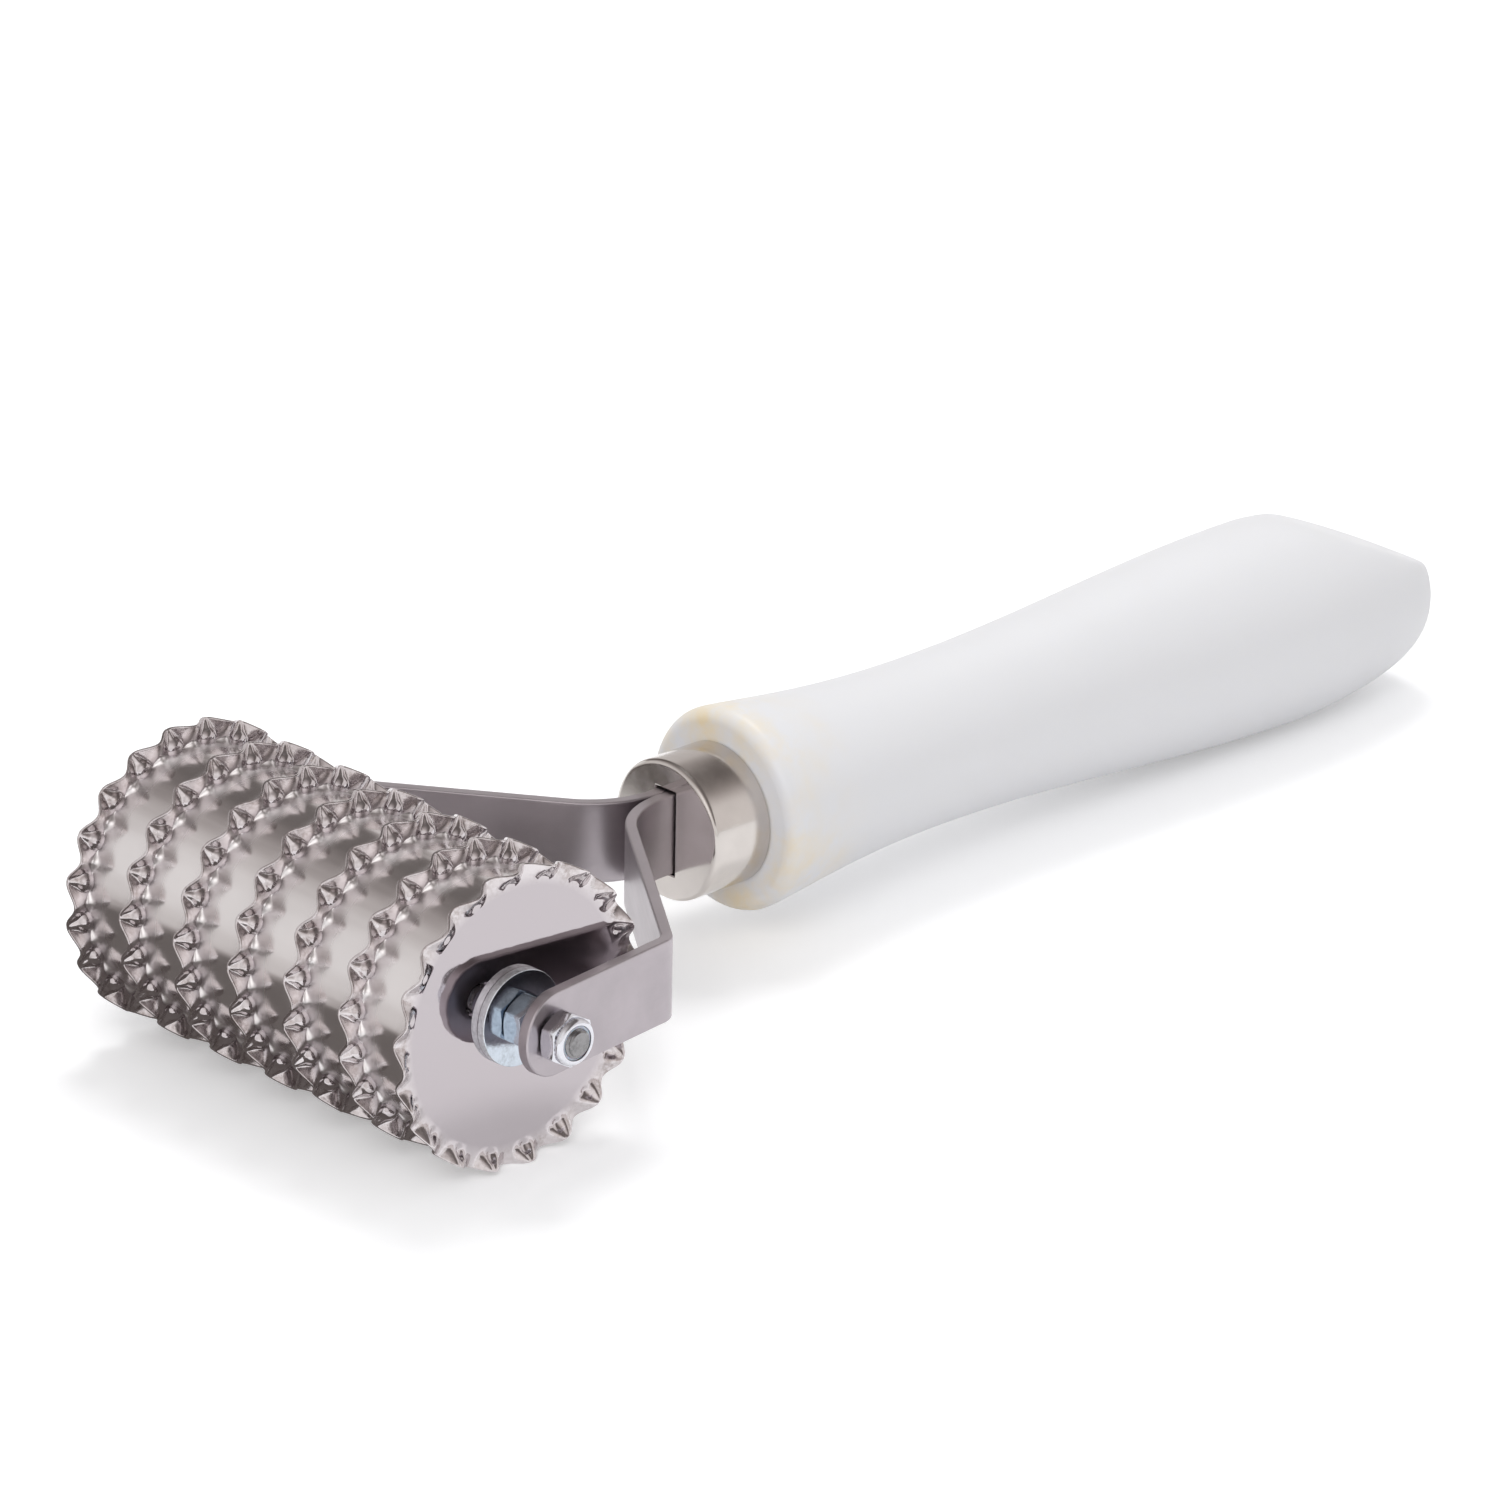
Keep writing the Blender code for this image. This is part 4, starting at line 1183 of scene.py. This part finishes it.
def dim_room(drop):
    """Tone by the angle below the horizon in front: pale low behind, dark above that, a smooth
    rise from overhead to the front, a slow even fade towards the table, and a quick smooth fall
    to dark under the wheels, which is painted shade for the tool's shadow. Darker tones are
    warmer by warmth * (1 - level)."""
    rise = smooth_step((drop - RISE_FROM) / (RISE_TO - RISE_FROM))
    fade = 1.0 - FADE_SHARE * np.clip((drop - FADE_FROM) / (UNDER_WHEEL_SHADE_FROM - FADE_FROM), 0.0, 1.0)
    # Painted shade: the fall to dark under the wheels stands in for the tool's shadow.
    cut = 1.0 - smooth_step((drop - UNDER_WHEEL_SHADE_FROM) / (UNDER_WHEEL_SHADE_TO - UNDER_WHEEL_SHADE_FROM))
    back = BACK_SHARE * smooth_step((drop - BACK_DARK) / (BACK_PALE - BACK_DARK))
    level = (CARD_DARK + (CARD_PALE * fade - CARD_DARK) * np.maximum(rise * cut, back))[..., None]
    return level * (1.0 - np.array(CARD_WARMTH) * (1.0 - level))


turn, across = np.meshgrid(
    np.linspace(0.0, np.pi, ROOF_STEPS),
    np.array([-ROOF_REACH, 0.0, ROOF_RIGHT_FROM, ROOF_REACH]), indexing="ij")
right_side = np.where(across >= ROOF_RIGHT_FROM, ROOF_PALE_RIGHT, 1.0)[..., None]
card_sheet("roof_card", np.stack([
    across, AXLE[1] + ROOF_RADIUS * np.cos(turn), ROOF_RADIUS * np.sin(turn)], -1),
    dim_room(turn - np.pi) * right_side)

# The front card holds painted shade: it darkens towards the wheels for the tool's shadow.
ahead, across = np.meshgrid(
    np.concatenate([[-DRUM_RADIUS], np.geomspace(DRUM_RADIUS, MAT_REACH, MAT_STEPS)]),
    np.array([MAT_LEFT, MAT_RIGHT]), indexing="ij")
drop = np.arctan2(MAT_BACK, np.clip(ahead - DRUM_RADIUS, MM, None))
card_sheet("front_shade_card", np.stack([
    across, AXLE[1] - ahead, np.full_like(ahead, CARD_LIFT)], -1), dim_room(drop))


# Light: a white surround, dimmer for the light that it sheds than for what is seen of it.
# One soft lamp stands over the camera's shoulder, and one hangs high over the handle's left.
SURROUND_SHED = 0.6
SURROUND_SEEN = 1.0
KEY_PLACE = (0.55, -0.75, 0.75)
KEY_AIM = (0.0, -0.03, 0.02)
KEY_SIZE = 0.5
KEY_WATTS = 3.0
TOP_PLACE = (-0.3, 0.3, 1.0)
TOP_AIM = (0.0, 0.0, 0.02)
TOP_SIZE = 0.4
TOP_WATTS = 4.0

world = bpy.data.worlds.new("surround")
bpy.context.scene.world = world
world.use_nodes = True
world_tree = world.node_tree
surround = world_tree.nodes["Background"]
surround.inputs["Color"].default_value = WHITE
world_tree.links.new(
    spread_between(world_tree, seen_directly(world_tree), SURROUND_SHED, SURROUND_SEEN),
    surround.inputs["Strength"])


def add_lamp(name, place, aim, size, watts):
    """A square soft lamp at a place, turned towards what it is aimed at."""
    light = bpy.data.lights.new(name, "AREA")
    light.shape = "SQUARE"
    light.size = size
    light.energy = watts
    lamp = add_object(name, light)
    lamp.location = place
    lamp.rotation_euler = (Vector(aim) - Vector(place)).to_track_quat("-Z", "Y").to_euler()


add_lamp("key_lamp", KEY_PLACE, KEY_AIM, KEY_SIZE, KEY_WATTS)
add_lamp("top_lamp", TOP_PLACE, TOP_AIM, TOP_SIZE, TOP_WATTS)


# Camera: a long lens, to the front right of the tool and above it.
# It looks at a point over the tool's middle, and leans over by half a degree.
AIM = Vector((3.8, -23.7, 33.4)) * MM
CAMERA_DISTANCE = 1.62
AZIMUTH = math.radians(46.64)
ELEVATION = math.radians(23.77)
ROLL = math.radians(-0.49)
LENS = 240.0
SENSOR_WIDTH = 36.0
FAR_CLIP = 20.0

camera_data = bpy.data.cameras.new("camera")
camera_data.lens = LENS
camera_data.sensor_width = SENSOR_WIDTH
camera_data.clip_end = FAR_CLIP
camera = add_object("camera", camera_data)
back = Vector((
    math.sin(AZIMUTH) * math.cos(ELEVATION),
    -math.cos(AZIMUTH) * math.cos(ELEVATION),
    math.sin(ELEVATION)))
level = (-back).to_track_quat("-Z", "Y").to_matrix()
camera.matrix_world = (
    Matrix.Translation(AIM + back * CAMERA_DISTANCE)
    @ (level @ Matrix.Rotation(ROLL, 3, "Z")).to_4x4())
bpy.context.scene.camera = camera
bpy.context.scene.view_settings.view_transform = "Standard"
